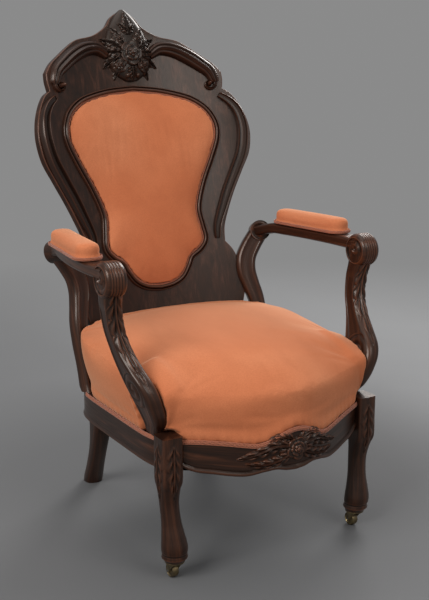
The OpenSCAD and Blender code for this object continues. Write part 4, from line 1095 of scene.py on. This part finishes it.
support_shares = [
    [0, 0, 0, 0.42, 0.25], [0.05, 0.05, -0.04, 0.43, 0.265], [0.1, 0.12, -0.15, 0.45, 0.35],
    [0.16, 0.22, -0.21, 0.48, 0.41], [0.22, 0.32, -0.22, 0.51, 0.445], [0.3, 0.45, -0.15, 0.54, 0.48],
    [0.38, 0.57, 0.06, 0.54, 0.465], [0.47, 0.69, 0.46, 0.51, 0.36], [0.56, 0.78, 0.83, 0.5, 0.26],
    [0.67, 0.86, 1.16, 0.5, 0.215], [0.8, 0.93, 1.23, 0.52, 0.22], [0.91, 0.98, 1.08, 0.56, 0.25],
    [1, 1, 1, 0.6, 0.27]
]
support_rows = even(curve(support_shares, 12), 180)
support_mid_x = mix(support_x, arm_x, support_rows[:, 1])
support_mid_y = mix(support_y, knuckle_y, support_rows[:, 2])
support_z = mix(rail_top + seat_gap, knuckle_z, support_rows[:, 0])


def level_rings(centre_x, centre_y, z, half_x, half_y, round_share, count):
    """Horizontal sections |x/a|^p + |y/b|^p = 1 stacked at the heights z.

    p is 2 for a round section and grows as its corners tighten.
    """
    t = 2 * np.pi * (np.arange(count) + 0.5) / count
    a, b, corner = half_x[:, None], half_y[:, None], round_share[:, None]
    p = -1 / np.log2(1 - (1 - math.sqrt(0.5)) * corner)
    k = (np.abs(np.cos(t))**p + np.abs(np.sin(t))**p)**(-1 / p)
    x, y = a * k * np.cos(t), b * k * np.sin(t)
    return np.stack([centre_x[:, None] + x, centre_y[:, None] + y, z[:, None] + 0 * x], -1)


def ring_turn(rings):
    """Angle of each point about its ring's middle: 0 towards +X, and -90 degrees towards the front."""
    flat = rings - rings.mean(1, keepdims=True)
    return np.arctan2(flat[..., 1], flat[..., 0])


def arm_support():
    """Support: it rises from the side rail, swells into a scroll and sweeps out and back to the knuckle.

    A leaf climbs its front, a sunk field runs up each side, and the swelling carries
    a spiral.
    """
    half_depth = support_rows[:, 4] * support_scroll_w
    rings = level_rings(support_mid_x, support_mid_y, support_z, support_rows[:, 3] * support_w,
                        half_depth, np.full(len(support_rows), 0.6), 152)
    flat = rings - rings.mean(1, keepdims=True)
    front = -flat[..., 1] / np.abs(flat[..., 1]).max(1, keepdims=True)
    s = flat[..., 0] / np.abs(flat[..., 0]).max(1, keepdims=True)
    u = np.clip((0.97 - support_rows[:, 0]) / 0.60, 0, 1)[:, None]
    spread = np.clip(1.02 * np.sin(np.pi * u**0.8)**0.7, 0.02, 1) * scallop(u, 6)
    climbing = leaf_relief(u, np.clip(s / spread, -1, 1), 6, 0.4) * smooth_step(0.3, 0.6, front)
    on_side = smooth_step(0.82, 0.97, np.abs(s))
    ends = (smooth_step(0.02, 0.08, support_rows[:, 0])
            * (1 - smooth_step(0.78, 0.86, support_rows[:, 0])))[:, None]
    field = on_side * ends * (1 - smooth_step(0.44, 0.66, np.abs(front)))
    eye = int(np.argmax(half_depth))
    reach_y = rings[..., 1] - support_mid_y[eye]
    reach_z = rings[..., 2] - support_z[eye]
    r = np.hypot(reach_y, reach_z) / (half_depth[eye] * 0.86)
    spiral = 0.5 + 0.5 * np.cos(2 * np.pi * 2.0 * r - np.arctan2(reach_z, reach_y))
    disc = 1 - smooth_step(0.86, 1.0, r)
    relief = (support_leaf_h * climbing - support_field_depth * field * (1 - disc)
              + support_spiral_h * on_side * disc * (spiral**0.7 - 1))
    return [displaced(rings, relief)]


pair("arm_rail", arm_rail(), rosewood, "rosewood", ["arm_rail"])
pair("arm_support", arm_support(), rosewood, "rosewood", ["arm_support"])

arm_pad_y = knuckle_y + knuckle_h / 2 + pad_knuckle_gap + arm_pad_l / 2
arm_pad_share = (arm_pad_y - knuckle_y) / (rear_eye[1] - knuckle_y)
arm_pad_x = mix(arm_x, rear_eye[0], arm_pad_share**2) + arm_bow * 0.6
arm_pad_turn = math.atan(2 * arm_pad_share * (arm_x - rear_eye[0]) / (rear_eye[1] - knuckle_y))


def along_arm(ring, level):
    """Plan points of an arm pad, turned to follow the rail and lifted to their level above it."""
    c, s = math.cos(arm_pad_turn), math.sin(arm_pad_turn)
    x, y = ring.T
    return np.stack([arm_pad_x + x * c - y * s, arm_pad_y + x * s + y * c,
                     np.full(len(ring), arm_rail_top + level)], -1)


def pad_plan(cut, count):
    """Plan of an arm pad drawn in by cut all round."""
    half = arm_pad_w / 2 - cut
    return rounded_ring(half, arm_pad_l / 2 - cut, half * 0.96, count)


def arm_cushion():
    """Arm pad: rounded plan whose sides swell out and then close over a domed top."""
    a = np.linspace(0, 1, 26)
    dome = np.linspace(0.12, 0.97, 16) * np.pi / 2
    wall = 0.93 + 0.07 * np.sin(a * np.pi * 0.55)
    inward = np.concatenate([[0.5, 0.78, 0.93], wall, np.cos(dome)**0.6])
    level = np.concatenate([[0, 0, 0], a * 0.55, 0.55 + 0.45 * np.sin(dome)])
    rings = [along_arm(pad_plan((1 - share) * arm_pad_w / 2, 20), seat_gap + up * arm_pad_t)
             for share, up in zip(inward, level)]
    return softened(np.array(rings), 2)


def on_arm(points):
    """Arm pad points kept above the rail."""
    return np.stack([points[:, 0], points[:, 1], np.maximum(points[:, 2], arm_rail_top + seat_gap)], 1)


def tacked_pad(points):
    return 1 - smooth_step(0.003, 0.012, points[:, 2] - arm_rail_top)


def remade(source, name, change):
    """Copy of a mesh, after a change that is made to it as editable points and faces."""
    mesh = source.copy()
    mesh.name = name
    work = bmesh.new()
    work.from_mesh(mesh)
    change(work)
    work.to_mesh(mesh)
    work.free()
    return mesh


def mirrored(work):
    """Turns a right-hand mesh into a left-hand one whose faces still point outwards."""
    for vert in work.verts:
        vert.co.x = -vert.co.x
    bmesh.ops.reverse_faces(work, faces=work.faces)


def straightened(work):
    """Leaves one face where a flat side was cut up."""
    bmesh.ops.remove_doubles(work, verts=work.verts, dist=1e-6)
    bmesh.ops.dissolve_limit(work, angle_limit=math.radians(1), verts=work.verts, edges=work.edges)
    bmesh.ops.recalc_face_normals(work, faces=work.faces)


right_pad = piece("arm_cushion_r", [arm_cushion()], velvet, "velvet", ["arm_pad_r"], sharp=180)
stuffed(right_pad, voxel=0.004, cap=0.008, held=tacked_pad, shrink=0.0045, seated=on_arm)
left_pad = placed("arm_cushion_l", remade(right_pad.data, "arm_cushion_l", mirrored),
                  ["arm_pad_l"])


def arm_gimp():
    """Gimp round the arm pad's foot."""
    path = along_arm(pad_plan(0.07 * arm_pad_w / 2 - 0.001, 24), cord_level)
    return plait(path, grid_outward(path), cord_w, cord_pitch, True)


def grid_outward(path):
    """Level normals of a closed level path, pointing away from its middle."""
    normal = level_normals(path, True)
    return normal if ((path - path.mean(0)) * normal).sum() > 0 else -normal


pair("arm_gimp", [], gimp_cord, "gimp", ["arm_gimp"], loops=arm_gimp(), sharp=180)


# Seat frame

def hill(x, half_w):
    """Smooth hill: 1 in the middle, and 0 from half_w outwards."""
    return (1 + np.cos(np.minimum(np.pi * np.abs(x) / half_w, np.pi))) / 2


def bow_share(x):
    return hill(x, half_frame_w)


front_reach = front_leg[0] - front_leg_w / 2


def front_drop(x):
    """Drop of the front rail's top edge: it dips from the legs and rises to a crest in the middle."""
    return front_dip * hill(x, front_reach) - front_crest_h * hill(x, front_crest_w / 2)


def seat_outline(t, w, front, rear, bow, rear_curve):
    """Point of the seat's plan at direction t: a squared ellipse with a bowed front and a hollow rear."""
    reach = np.where(np.sin(t) < 0, front, rear)
    r = ((np.abs(np.cos(t)) / w)**frame_squareness
         + (np.abs(np.sin(t)) / reach)**frame_squareness)**(-1 / frame_squareness)
    x, y = r * np.cos(t), r * np.sin(t)
    depth = (y / reach)**2
    return x, frame_mid_y + y - depth * np.where(y < 0, bow * bow_share(x), x * x * rear_curve)


turn_all = np.linspace(0, 2 * np.pi, 1440, endpoint=False)
frame_x, frame_y = seat_outline(turn_all, half_frame_w, frame_front, frame_rear, front_bow, 0)
frame_line = np.stack([frame_x, frame_y, 0 * frame_x], 1)
frame_out = grid_outward(frame_line)

apron_shares = [
    [0, 0.6], [0.1, 0.5], [0.2, 0.3], [0.32, 0.45], [0.46, 0.75], [0.6, 0.65], [0.74, 0.4],
    [0.86, 0.2], [0.94, -0.1], [1, -0.5]
]
front_half = front_reach - seat_gap


def front_face(x):
    """Y of the front rail's face at x, and the level direction out of it."""
    front = frame_y < front_leg[1] + front_leg_w
    order = np.argsort(frame_x[front])
    xs = frame_x[front][order]
    return (np.interp(x, xs, frame_y[front][order]), np.interp(x, xs, frame_out[front][order, 0]),
            np.interp(x, xs, frame_out[front][order, 1]))


def on_front_rail(x, z, h):
    y, nx, ny = front_face(x)
    return np.stack([x + nx * h, y + ny * h, z + 0 * h], -1)


def front_low(x):
    edge = curve(apron_shares, 10)
    return rail_top - rail_h - np.interp(np.abs(x) / front_half, edge[:, 0], edge[:, 1]) * apron_drop


def front_rail():
    """Bowed rail: its face carries a bead along the shaped lower edge and a groove under the seat."""
    x = np.linspace(-front_half, front_half, 181)
    top = rail_top - front_drop(x)
    low = front_low(x)
    t = np.linspace(0, 1, 40)[None, :]
    z = mix(low[:, None], top[:, None], t)
    d = z - low[:, None]
    bead = front_bead_h * half_round((d - front_bead_up) / front_bead_r)
    groove = -edge_ease * peak(d - groove_up, edge_ease)
    ease = -edge_ease * (1.25 * peak(d, edge_ease) + peak(top[:, None] - z, edge_ease))
    face = on_front_rail(x[:, None] + 0 * z, z, bead + groove + ease)
    inner_t = np.linspace(1, 0, 6)[None, :]
    inner = on_front_rail(x[:, None] + 0 * inner_t, mix(low[:, None], top[:, None], inner_t),
                          np.full((181, 6), -rail_t))
    return [np.concatenate([face, inner], 1)]


# Leaves on the front rail's raised middle: points of the rib as x and z, then width and height
rail_leaves = [
    ([(0.014, 0.264), (0.048, 0.268), (0.084, 0.2545), (0.118, 0.2455)], 0.0150, 0.0100),
    ([(0.014, 0.250), (0.042, 0.2385), (0.074, 0.233), (0.104, 0.236)], 0.0120, 0.0090),
    ([(0.008, 0.276), (0.026, 0.2855), (0.048, 0.284), (0.068, 0.2745)], 0.0095, 0.0085)
]


def rail_carving():
    """Carving on the front rail's raised middle: a flower between leaves that spread along the rail."""
    made = []
    for side in (-1, 1):
        for rib, width, height in rail_leaves:
            made.append(leaf(on_front_rail, [(side * x, z) for x, z in rib], width, height))
    made.append(rosette(on_front_rail, 0, 0.2585, 0.025, 0.0125, turn=0.4))
    return made


piece("front_rail_carved", front_rail() + rail_carving(), rosewood, "rosewood", ["front_rail"])


def side_rail():
    """Side rail: the frame's outline from leg to leg, with a bead along its lower edge."""
    start = front_leg[1] + front_leg_w / 2 + seat_gap
    right = (frame_x > rear_leg[0] + rear_leg_w / 2) & (frame_y > start)
    order = np.argsort(frame_y[right])
    line, out = frame_line[right][order], frame_out[right][order]
    line[0, 1] = start
    t = np.linspace(0, 1, 30)
    d = t * rail_h
    bead = side_bead_h * half_round((d - side_bead_up) / side_bead_r)
    ease = -edge_ease * (peak(d, edge_ease) + peak(rail_h - d, edge_ease))
    reach = np.concatenate([bead + ease, np.full(5, -rail_t)])
    z = np.concatenate([rail_top - rail_h + d, rail_top - rail_h * np.linspace(0, 1, 5)])
    rings = line[:, None] + out[:, None] * reach[None, :, None]
    rings[..., 2] = z
    rings[..., 0] = np.maximum(rings[..., 0], rear_leg[0] + rear_leg_w / 2 + seat_gap)
    return [rings]


pair("side_rail", side_rail(), rosewood, "rosewood", ["side_rail"])


def eased_copy(name, node, finish, width, body="chair"):
    """Copy of a straight-edged part with its edges eased by a small bevel."""
    mesh = remade(frame["nodes"][node].data, name, straightened)
    mesh.materials.clear()
    mesh.materials.append(finish)
    shade_smooth(mesh)
    mesh.set_sharp_from_angle(angle=math.radians(35))
    bevel = placed(name, mesh, [node], body).modifiers.new("eased_edges", "BEVEL")
    bevel.width = width
    bevel.segments = 2
    bevel.limit_method = "ANGLE"
    bevel.angle_limit = math.radians(35)


eased_copy("rear_rail_eased", "rear_rail", frame_wood, 0.0015)


# Legs

front_leg_shares = [
    [0, 0.02, 0.47, 1], [0.05, 0.06, 0.57, 1], [0.12, 0.1, 0.6, 1], [0.21, 0.05, 0.53, 1],
    [0.32, -0.05, 0.45, 1], [0.46, -0.12, 0.43, 0.9], [0.58, -0.06, 0.47, 0.7],
    [0.66, 0, 0.5, 0.3], [0.84, 0, 0.5, 0.3], [1, 0, 0.5, 0.3]
]


def front_cabriole():
    """Front leg: a square top, a slim ankle and a swelling foot, with a leaf down the knee."""
    rows = even(curve(front_leg_shares, 14), 200)
    t = rows[:, 0]
    half = rows[:, 2] * front_leg_w
    rings = level_rings(
        front_leg[0] - front_leg_w * 0.25 * (1 - np.minimum(t / 0.66, 1)),
        front_leg[1] - rows[:, 1] * front_leg_w, mix(caster_top + seat_gap, front_leg_top, t),
        half, half, rows[:, 3], 128)
    turn = ring_turn(rings)
    u = np.clip((0.95 - t) / 0.47, 0, 1)[:, None]
    spread = np.clip(np.sin(np.pi * u**0.62), 0.05, 1) * scallop(u, 5)
    knee = 0
    for facing in (-np.pi / 2, 0):
        s = (turn - facing) / 0.70
        knee = knee + knee_leaf_h * leaf_relief(u, np.clip(s / spread, -1, 1), 5, 0.4)
    collar = collar_h * peak(t - 0.035, 0.010) - collar_groove * peak(t - 0.065, 0.008)
    return [displaced(rings, knee + collar[:, None])]


rear_leg_shares = [
    [0, 1, 0.43, 0.9], [0.06, 0.92, 0.44, 0.9], [0.2, 0.68, 0.41, 0.9], [0.4, 0.36, 0.4, 0.8],
    [0.6, 0.12, 0.44, 0.6], [0.72, 0.02, 0.48, 0.4], [0.785, 0, 0.5, 0.2], [1, 0, 0.5, 0.2]
]


def rear_leg_swept():
    """Rear leg: a square top that turns round as it sweeps back to the floor."""
    rows = even(curve(rear_leg_shares, 14), 140)
    half = rows[:, 2] * rear_leg_w
    rings = level_rings(
        rear_leg[0] - rows[:, 1] * rear_leg_toe_in, rear_leg[1] + rows[:, 1] * rear_leg_splay,
        rows[:, 0] * rail_top, half, half, rows[:, 3], 96)
    return [rings]


pair("front_leg", front_cabriole(), rosewood, "rosewood", ["front_leg"])
pair("rear_leg", rear_leg_swept(), rosewood, "rosewood", ["rear_leg"])


# Seat

sheet_curve = 1 / (2 * back_bend_r * math.cos(back_rake))


def seat_rear_y(z):
    return back_y + (z - rail_top) * math.tan(back_rake) - seat_back_gap


def seat_ring(t, s=1.0, rise=0.0, count=360):
    """Ring of the seat: t climbs the stuffed wall, s shrinks the ring to the middle and rise lifts it."""
    around = np.linspace(0, 2 * np.pi, count, endpoint=False)
    puff = math.sin(math.radians(108) * t)
    low = rail_top + seat_gap
    x, y = seat_outline(around, half_frame_w + seat_bulge * puff, frame_front + seat_front_bulge * puff,
                        seat_rear_y(mix(low, seat_edge_rear_h, t)) - frame_mid_y, front_bow, sheet_curve)
    climb = np.clip((y - frame_mid_y + frame_front) / (frame_front + frame_rear), 0, 1)
    edge = mix(seat_edge_front_h, seat_edge_rear_h, climb**0.7)
    dip = np.where(y < frame_mid_y, front_drop(x * s) * (1 - t), 0)
    z = mix(mix(low, edge, t) - dip, seat_h, rise)
    return np.stack([x * s, frame_mid_y + (y - frame_mid_y) * s, z], -1)


def at_height(z, values):
    """Value of a row of the arm support's sections at the height z."""
    return np.interp(z, support_z, values)


def seat_low(x, y):
    """Height of what the seat stands on: the rails' tops, with the front rail's shaped edge."""
    over_front = (y < front_leg[1] + front_leg_w / 2) & (np.abs(x) < front_reach)
    return rail_top + seat_gap - np.where(over_front, front_drop(x), 0)


leg_rear = front_leg[1] + front_leg_w / 2 + turn_gap
slot_clear = 0.0012
over_leg = front_leg_top + 0.0045
foot_inner = support_x - support_shares[0][3] * support_w - turn_gap
bracket_reach = 0.058
bracket_inner, bracket_outer = 0.198, 0.2125
back_sink = 0.003


def beside_frame(points):
    """Seat points kept clear of the rails, the legs' tops, the supports, the brackets and the back."""
    x, y, z = points.T
    z = np.maximum(z, seat_low(x, y))
    side, width = np.sign(x), np.abs(x)
    width = np.where((y < leg_rear) & (z < over_leg), np.minimum(width, front_reach - turn_gap), width)
    behind_leg = (y >= leg_rear) & (y < support_y) & (z < over_leg)
    width = np.where(behind_leg, np.minimum(width, foot_inner), width)
    depth = at_height(z, support_rows[:, 4]) * support_scroll_w + slot_clear
    t = np.abs((y - at_height(z, support_mid_y)) / depth)
    reach = (1 - np.clip(t, 0, 1)**4)**0.25 * (at_height(z, support_rows[:, 3]) * support_w + slot_clear)
    limit = at_height(z, support_mid_x) - reach
    width = np.where(t < 1, np.minimum(width, limit), width)
    slope_v = (z - rail_top) / math.cos(back_rake)
    bracket = back_y - bracket_reach + slope_v * math.sin(back_rake)
    y = np.where(y > bracket, mix(y, bracket, smooth_step(bracket_inner, bracket_outer, width)), y)
    y = np.minimum(y, seat_rear_y(z) + back_sink - sheet_curve * width**2)
    return np.stack([side * width, y, z], 1)


def tacked_seat(points):
    """1 where the cover is tacked down or drawn round the frame, 0 where it is free."""
    x, y, z = points.T
    foot = 1 - smooth_step(tack_low, tack_high, z - seat_low(x, y))
    depth = at_height(z, support_rows[:, 4]) * support_scroll_w
    near = np.abs((y - at_height(z, support_mid_y)) / depth)
    beside = (1 - smooth_step(1.0, 1.35, near)) * smooth_step(0.190, 0.212, np.abs(x))
    rear = smooth_step(-0.030, -0.012, y - seat_rear_y(z) + sheet_curve * x**2)
    return np.maximum(np.maximum(foot, beside), rear)


def puckered(points):
    """Gathers where the cover is tacked: small radial waves that fade up the wall."""
    x, y, z = points.T
    turn = np.arctan2(y - frame_mid_y, x)
    wave = np.cos(84 * turn + 2 * np.sin(5 * turn) + 1.3 * np.sin(13 * turn))
    up = z - seat_low(x, y)
    height = pucker_h * wave * np.exp(-up / pucker_rise) * smooth_step(0.0, 0.004, up)
    out = np.stack([np.cos(turn), np.sin(turn), 0 * turn], 1)
    return points + out * height[:, None]


def seat_cushion():
    """Sprung seat: a stuffed wall with a soft edge and a broad crown."""
    rings = [seat_ring(0, s) for s in (0.3, 0.6, 0.85, 0.96, 0.99)]
    rings += [seat_ring(t) for t in np.linspace(0, 0.97, 26)]
    rings += [seat_ring(1, s, 1 - s**3.2) for s in np.cos(np.linspace(0.06, 0.985, 44) * np.pi / 2)**0.8]
    rings = np.array(rings)
    rings[8:] = softened(rings[8:], 5)
    flat = rings.reshape(-1, 3)
    return beside_frame(flat).reshape(rings.shape)


seat = piece("sprung_seat", [seat_cushion()], velvet, "velvet", ["seat_cushion"], sharp=180)
stuffed(seat, voxel=0.0062, cap=0.013, held=tacked_seat, shrink=0.007,
        seated=lambda points: beside_frame(puckered(points)))


def seat_gimp():
    """Gimp along the lower edge of the seat's front and sides."""
    reach = gimp_d * 0.2
    around = np.linspace(math.pi - braid_turn, 2 * math.pi + braid_turn, 780)
    x, y = seat_outline(around, half_frame_w + reach, frame_front + reach, frame_rear, front_bow, 0)
    dip = np.where(np.sin(around) < 0, front_drop(x), 0)
    path = np.stack([x, y, rail_top + braid_lift - dip], 1)
    normal = level_normals(path)
    over_leg_y = front_leg[1] + front_leg_w / 2
    keep = ~((np.abs(x) > front_reach) & (y < over_leg_y))
    made = []
    for part in (keep & (y > front_leg[1]) & (x > 0), keep & (y > front_leg[1]) & (x < 0),
                 keep & (y < over_leg_y) & (np.abs(x) < front_half)):
        made += plait(path[part], normal[part], braid_w, braid_pitch)
    return made


piece("seat_gimp_braid", seat_gimp(), gimp_cord, "gimp", ["seat_gimp"], sharp=180)


# Casters

caster_x = front_leg[0] - front_leg_w * 0.25
caster_y = front_leg[1] - front_leg_shares[0][1] * front_leg_w


def caster_wheel():
    """Wheel: a crowned tread between two dished faces, with a hub."""
    half = wheel_w / 2
    r = wheel_d / 2
    profile = [(0.0026, -half), (0.005, -half), (0.0058, -half + 0.001), (0.0108, -half + 0.0016),
               (0.012, -half + 0.0004), (r - 0.0012, -half + 0.0006), (r - 0.0003, -half + 0.0022),
               (r, -half * 0.4), (r, 0)]
    profile += [(radius, -h) for radius, h in profile[-2::-1]]
    profile = np.array(profile + [(0.0026, half * 0.5), (0.0026, -half * 0.5)])
    radius, x = profile[:, :1], profile[:, 1:]
    a = np.linspace(0, 2 * np.pi, 56, endpoint=False)
    middle = np.array([caster_x, caster_y + caster_trail, r])
    return np.stack([x + 0 * a, radius * np.cos(a), radius * np.sin(a)], -1) + middle


for side, flip in (("right", 1), ("left", -1)):
    wheel = caster_wheel() * [flip, 1, 1]
    piece(f"caster_wheel_{side}", [], brass, "brass", [f"caster_wheel_{side[0]}"], body=f"wheel_{side}",
          loops=[wheel])
    eased_copy(f"caster_fork_{side}", f"caster_fork_{side[0]}", brass, 0.0005, f"fork_{side}")
    eased_copy(f"caster_plate_{side}", f"caster_plate_{side[0]}", brass, 0.0005)


# The rest of the frame keeps its own shape and gets its finish

finish_of = {
    "beech": beech, "steel": steel, "jute": jute, "cambric": cambric, "brass": brass,
    "rosewood": frame_wood, "carved_rosewood": carved_rosewood, "gimp": gimp_cord, "velvet": velvet
}
for part in frame["record"]["subparts"]:
    node = frame["nodes"][part["node"]]
    node.data.materials.clear()
    node.data.materials.append(finish_of[part["material_slot"]])


# Floor, light and camera

wall_tone = 0.255
# Floor tones: painted shadow round the chair, also used for the clouds, and painted light to the right.
shade_and_cloud_floor_tone, painted_light_floor_tone = 0.150, 0.30


def floor():
    """Floor: a grey sweep with a painted shadow round the chair and painted light to the right; far away
    it glows in the wall's tone.
    """
    mesh = bpy.data.meshes.new("floor")
    reach = 12
    mesh.from_pydata([(-reach, -reach, 0), (reach, -reach, 0), (reach, reach, 0), (-reach, reach, 0)],
                     [], [(0, 1, 2, 3)])
    f = Finish("floor_sweep")
    place = f.place("Object", (1, 1, 1))
    far = f.math("DIVIDE", f.add("VectorMath", {"operation": "LENGTH"}, i0=place).outputs["Value"], 4.0)
    clouds = f.noise("Object", (1.5, 1.5, 1.5), 3.0)
    across = f.add("SeparateXYZ", Vector=place).outputs["X"]
    # Painted light: the floor turns paler towards the right.
    band = f.ramp(f.math("DIVIDE", across, 2.0), (0.1, 0.2), (0.7, painted_light_floor_tone))
    # Painted shadow: the darker tone round the chair.
    tone = f.cover(grey(shade_and_cloud_floor_tone), band, far, (0.13, 0), (0.26, 1))
    tone = f.cover(tone, grey(shade_and_cloud_floor_tone), clouds, (0.3, 0.12), (0.7, 0))
    material = f.finish(Base_Color=tone, Roughness=0.8, Specular_IOR_Level=0.2)
    # Far away the floor glows in the wall's tone instead of being lit.
    glow = f.add("Emission", Color=grey(wall_tone), Strength=1.0)
    fade = f.add("MixShader", i0=f.ramp(far, (0.3, 0), (0.75, 1)),
                 i1=f.shader.outputs["BSDF"], i2=glow.outputs["Emission"])
    f.put(f.tree.nodes["Material Output"].inputs["Surface"], fade.outputs["Shader"])
    mesh.materials.append(material)
    added("floor", mesh)


lights = [
    ("left_light", (-2.6, -1.0, 2.3), 1.5, 66), ("right_light", (2.3, 1.5, 2.3), 1.5, 60),
    ("front_light", (0.5, -2.8, 2.6), 1.6, 26), ("top_light", (-0.1, 0.1, 3.2), 2.0, 17)
]
light_aim = Vector((0, 0, 0.5))


def aimed(obj, way):
    obj.rotation_euler = way.to_track_quat("-Z", "Y").to_euler()


def studio():
    """World that is seen as the wall's tone and lights a little more; soft lights at both sides."""
    world = bpy.data.worlds.new("studio")
    world.use_nodes = True
    tree = world.node_tree
    seen = tree.nodes.new("ShaderNodeLightPath").outputs["Is Camera Ray"]
    tone = tree.nodes.new("ShaderNodeMix")
    tone.data_type = "RGBA"
    tone.inputs[6].default_value = (0.33, 0.33, 0.34, 1)
    tone.inputs[7].default_value = (*grey(wall_tone), 1)
    tree.links.new(seen, tone.inputs[0])
    tree.links.new(tone.outputs[2], tree.nodes["Background"].inputs["Color"])
    bpy.context.scene.world = world
    for name, place, size, power in lights:
        data = bpy.data.lights.new(name, "AREA")
        data.size = size
        data.energy = power
        light = added(name, data)
        light.location = place
        aimed(light, light_aim - Vector(place))
    bpy.context.scene.view_settings.view_transform = "Standard"


def camera():
    """Camera at the photograph's place: turned 31 degrees, looking 13 degrees down."""
    data = bpy.data.cameras.new("camera")
    data.lens = 60.67
    data.sensor_width = 36
    obj = added("camera", data)
    yaw, pitch = math.radians(31.08), math.radians(13.33)
    obj.location = (-1.093, -1.879, 0.993)
    level = math.cos(pitch)
    aimed(obj, Vector((math.sin(yaw) * level, math.cos(yaw) * level, -math.sin(pitch))))
    bpy.context.scene.camera = obj


floor()
studio()
camera()
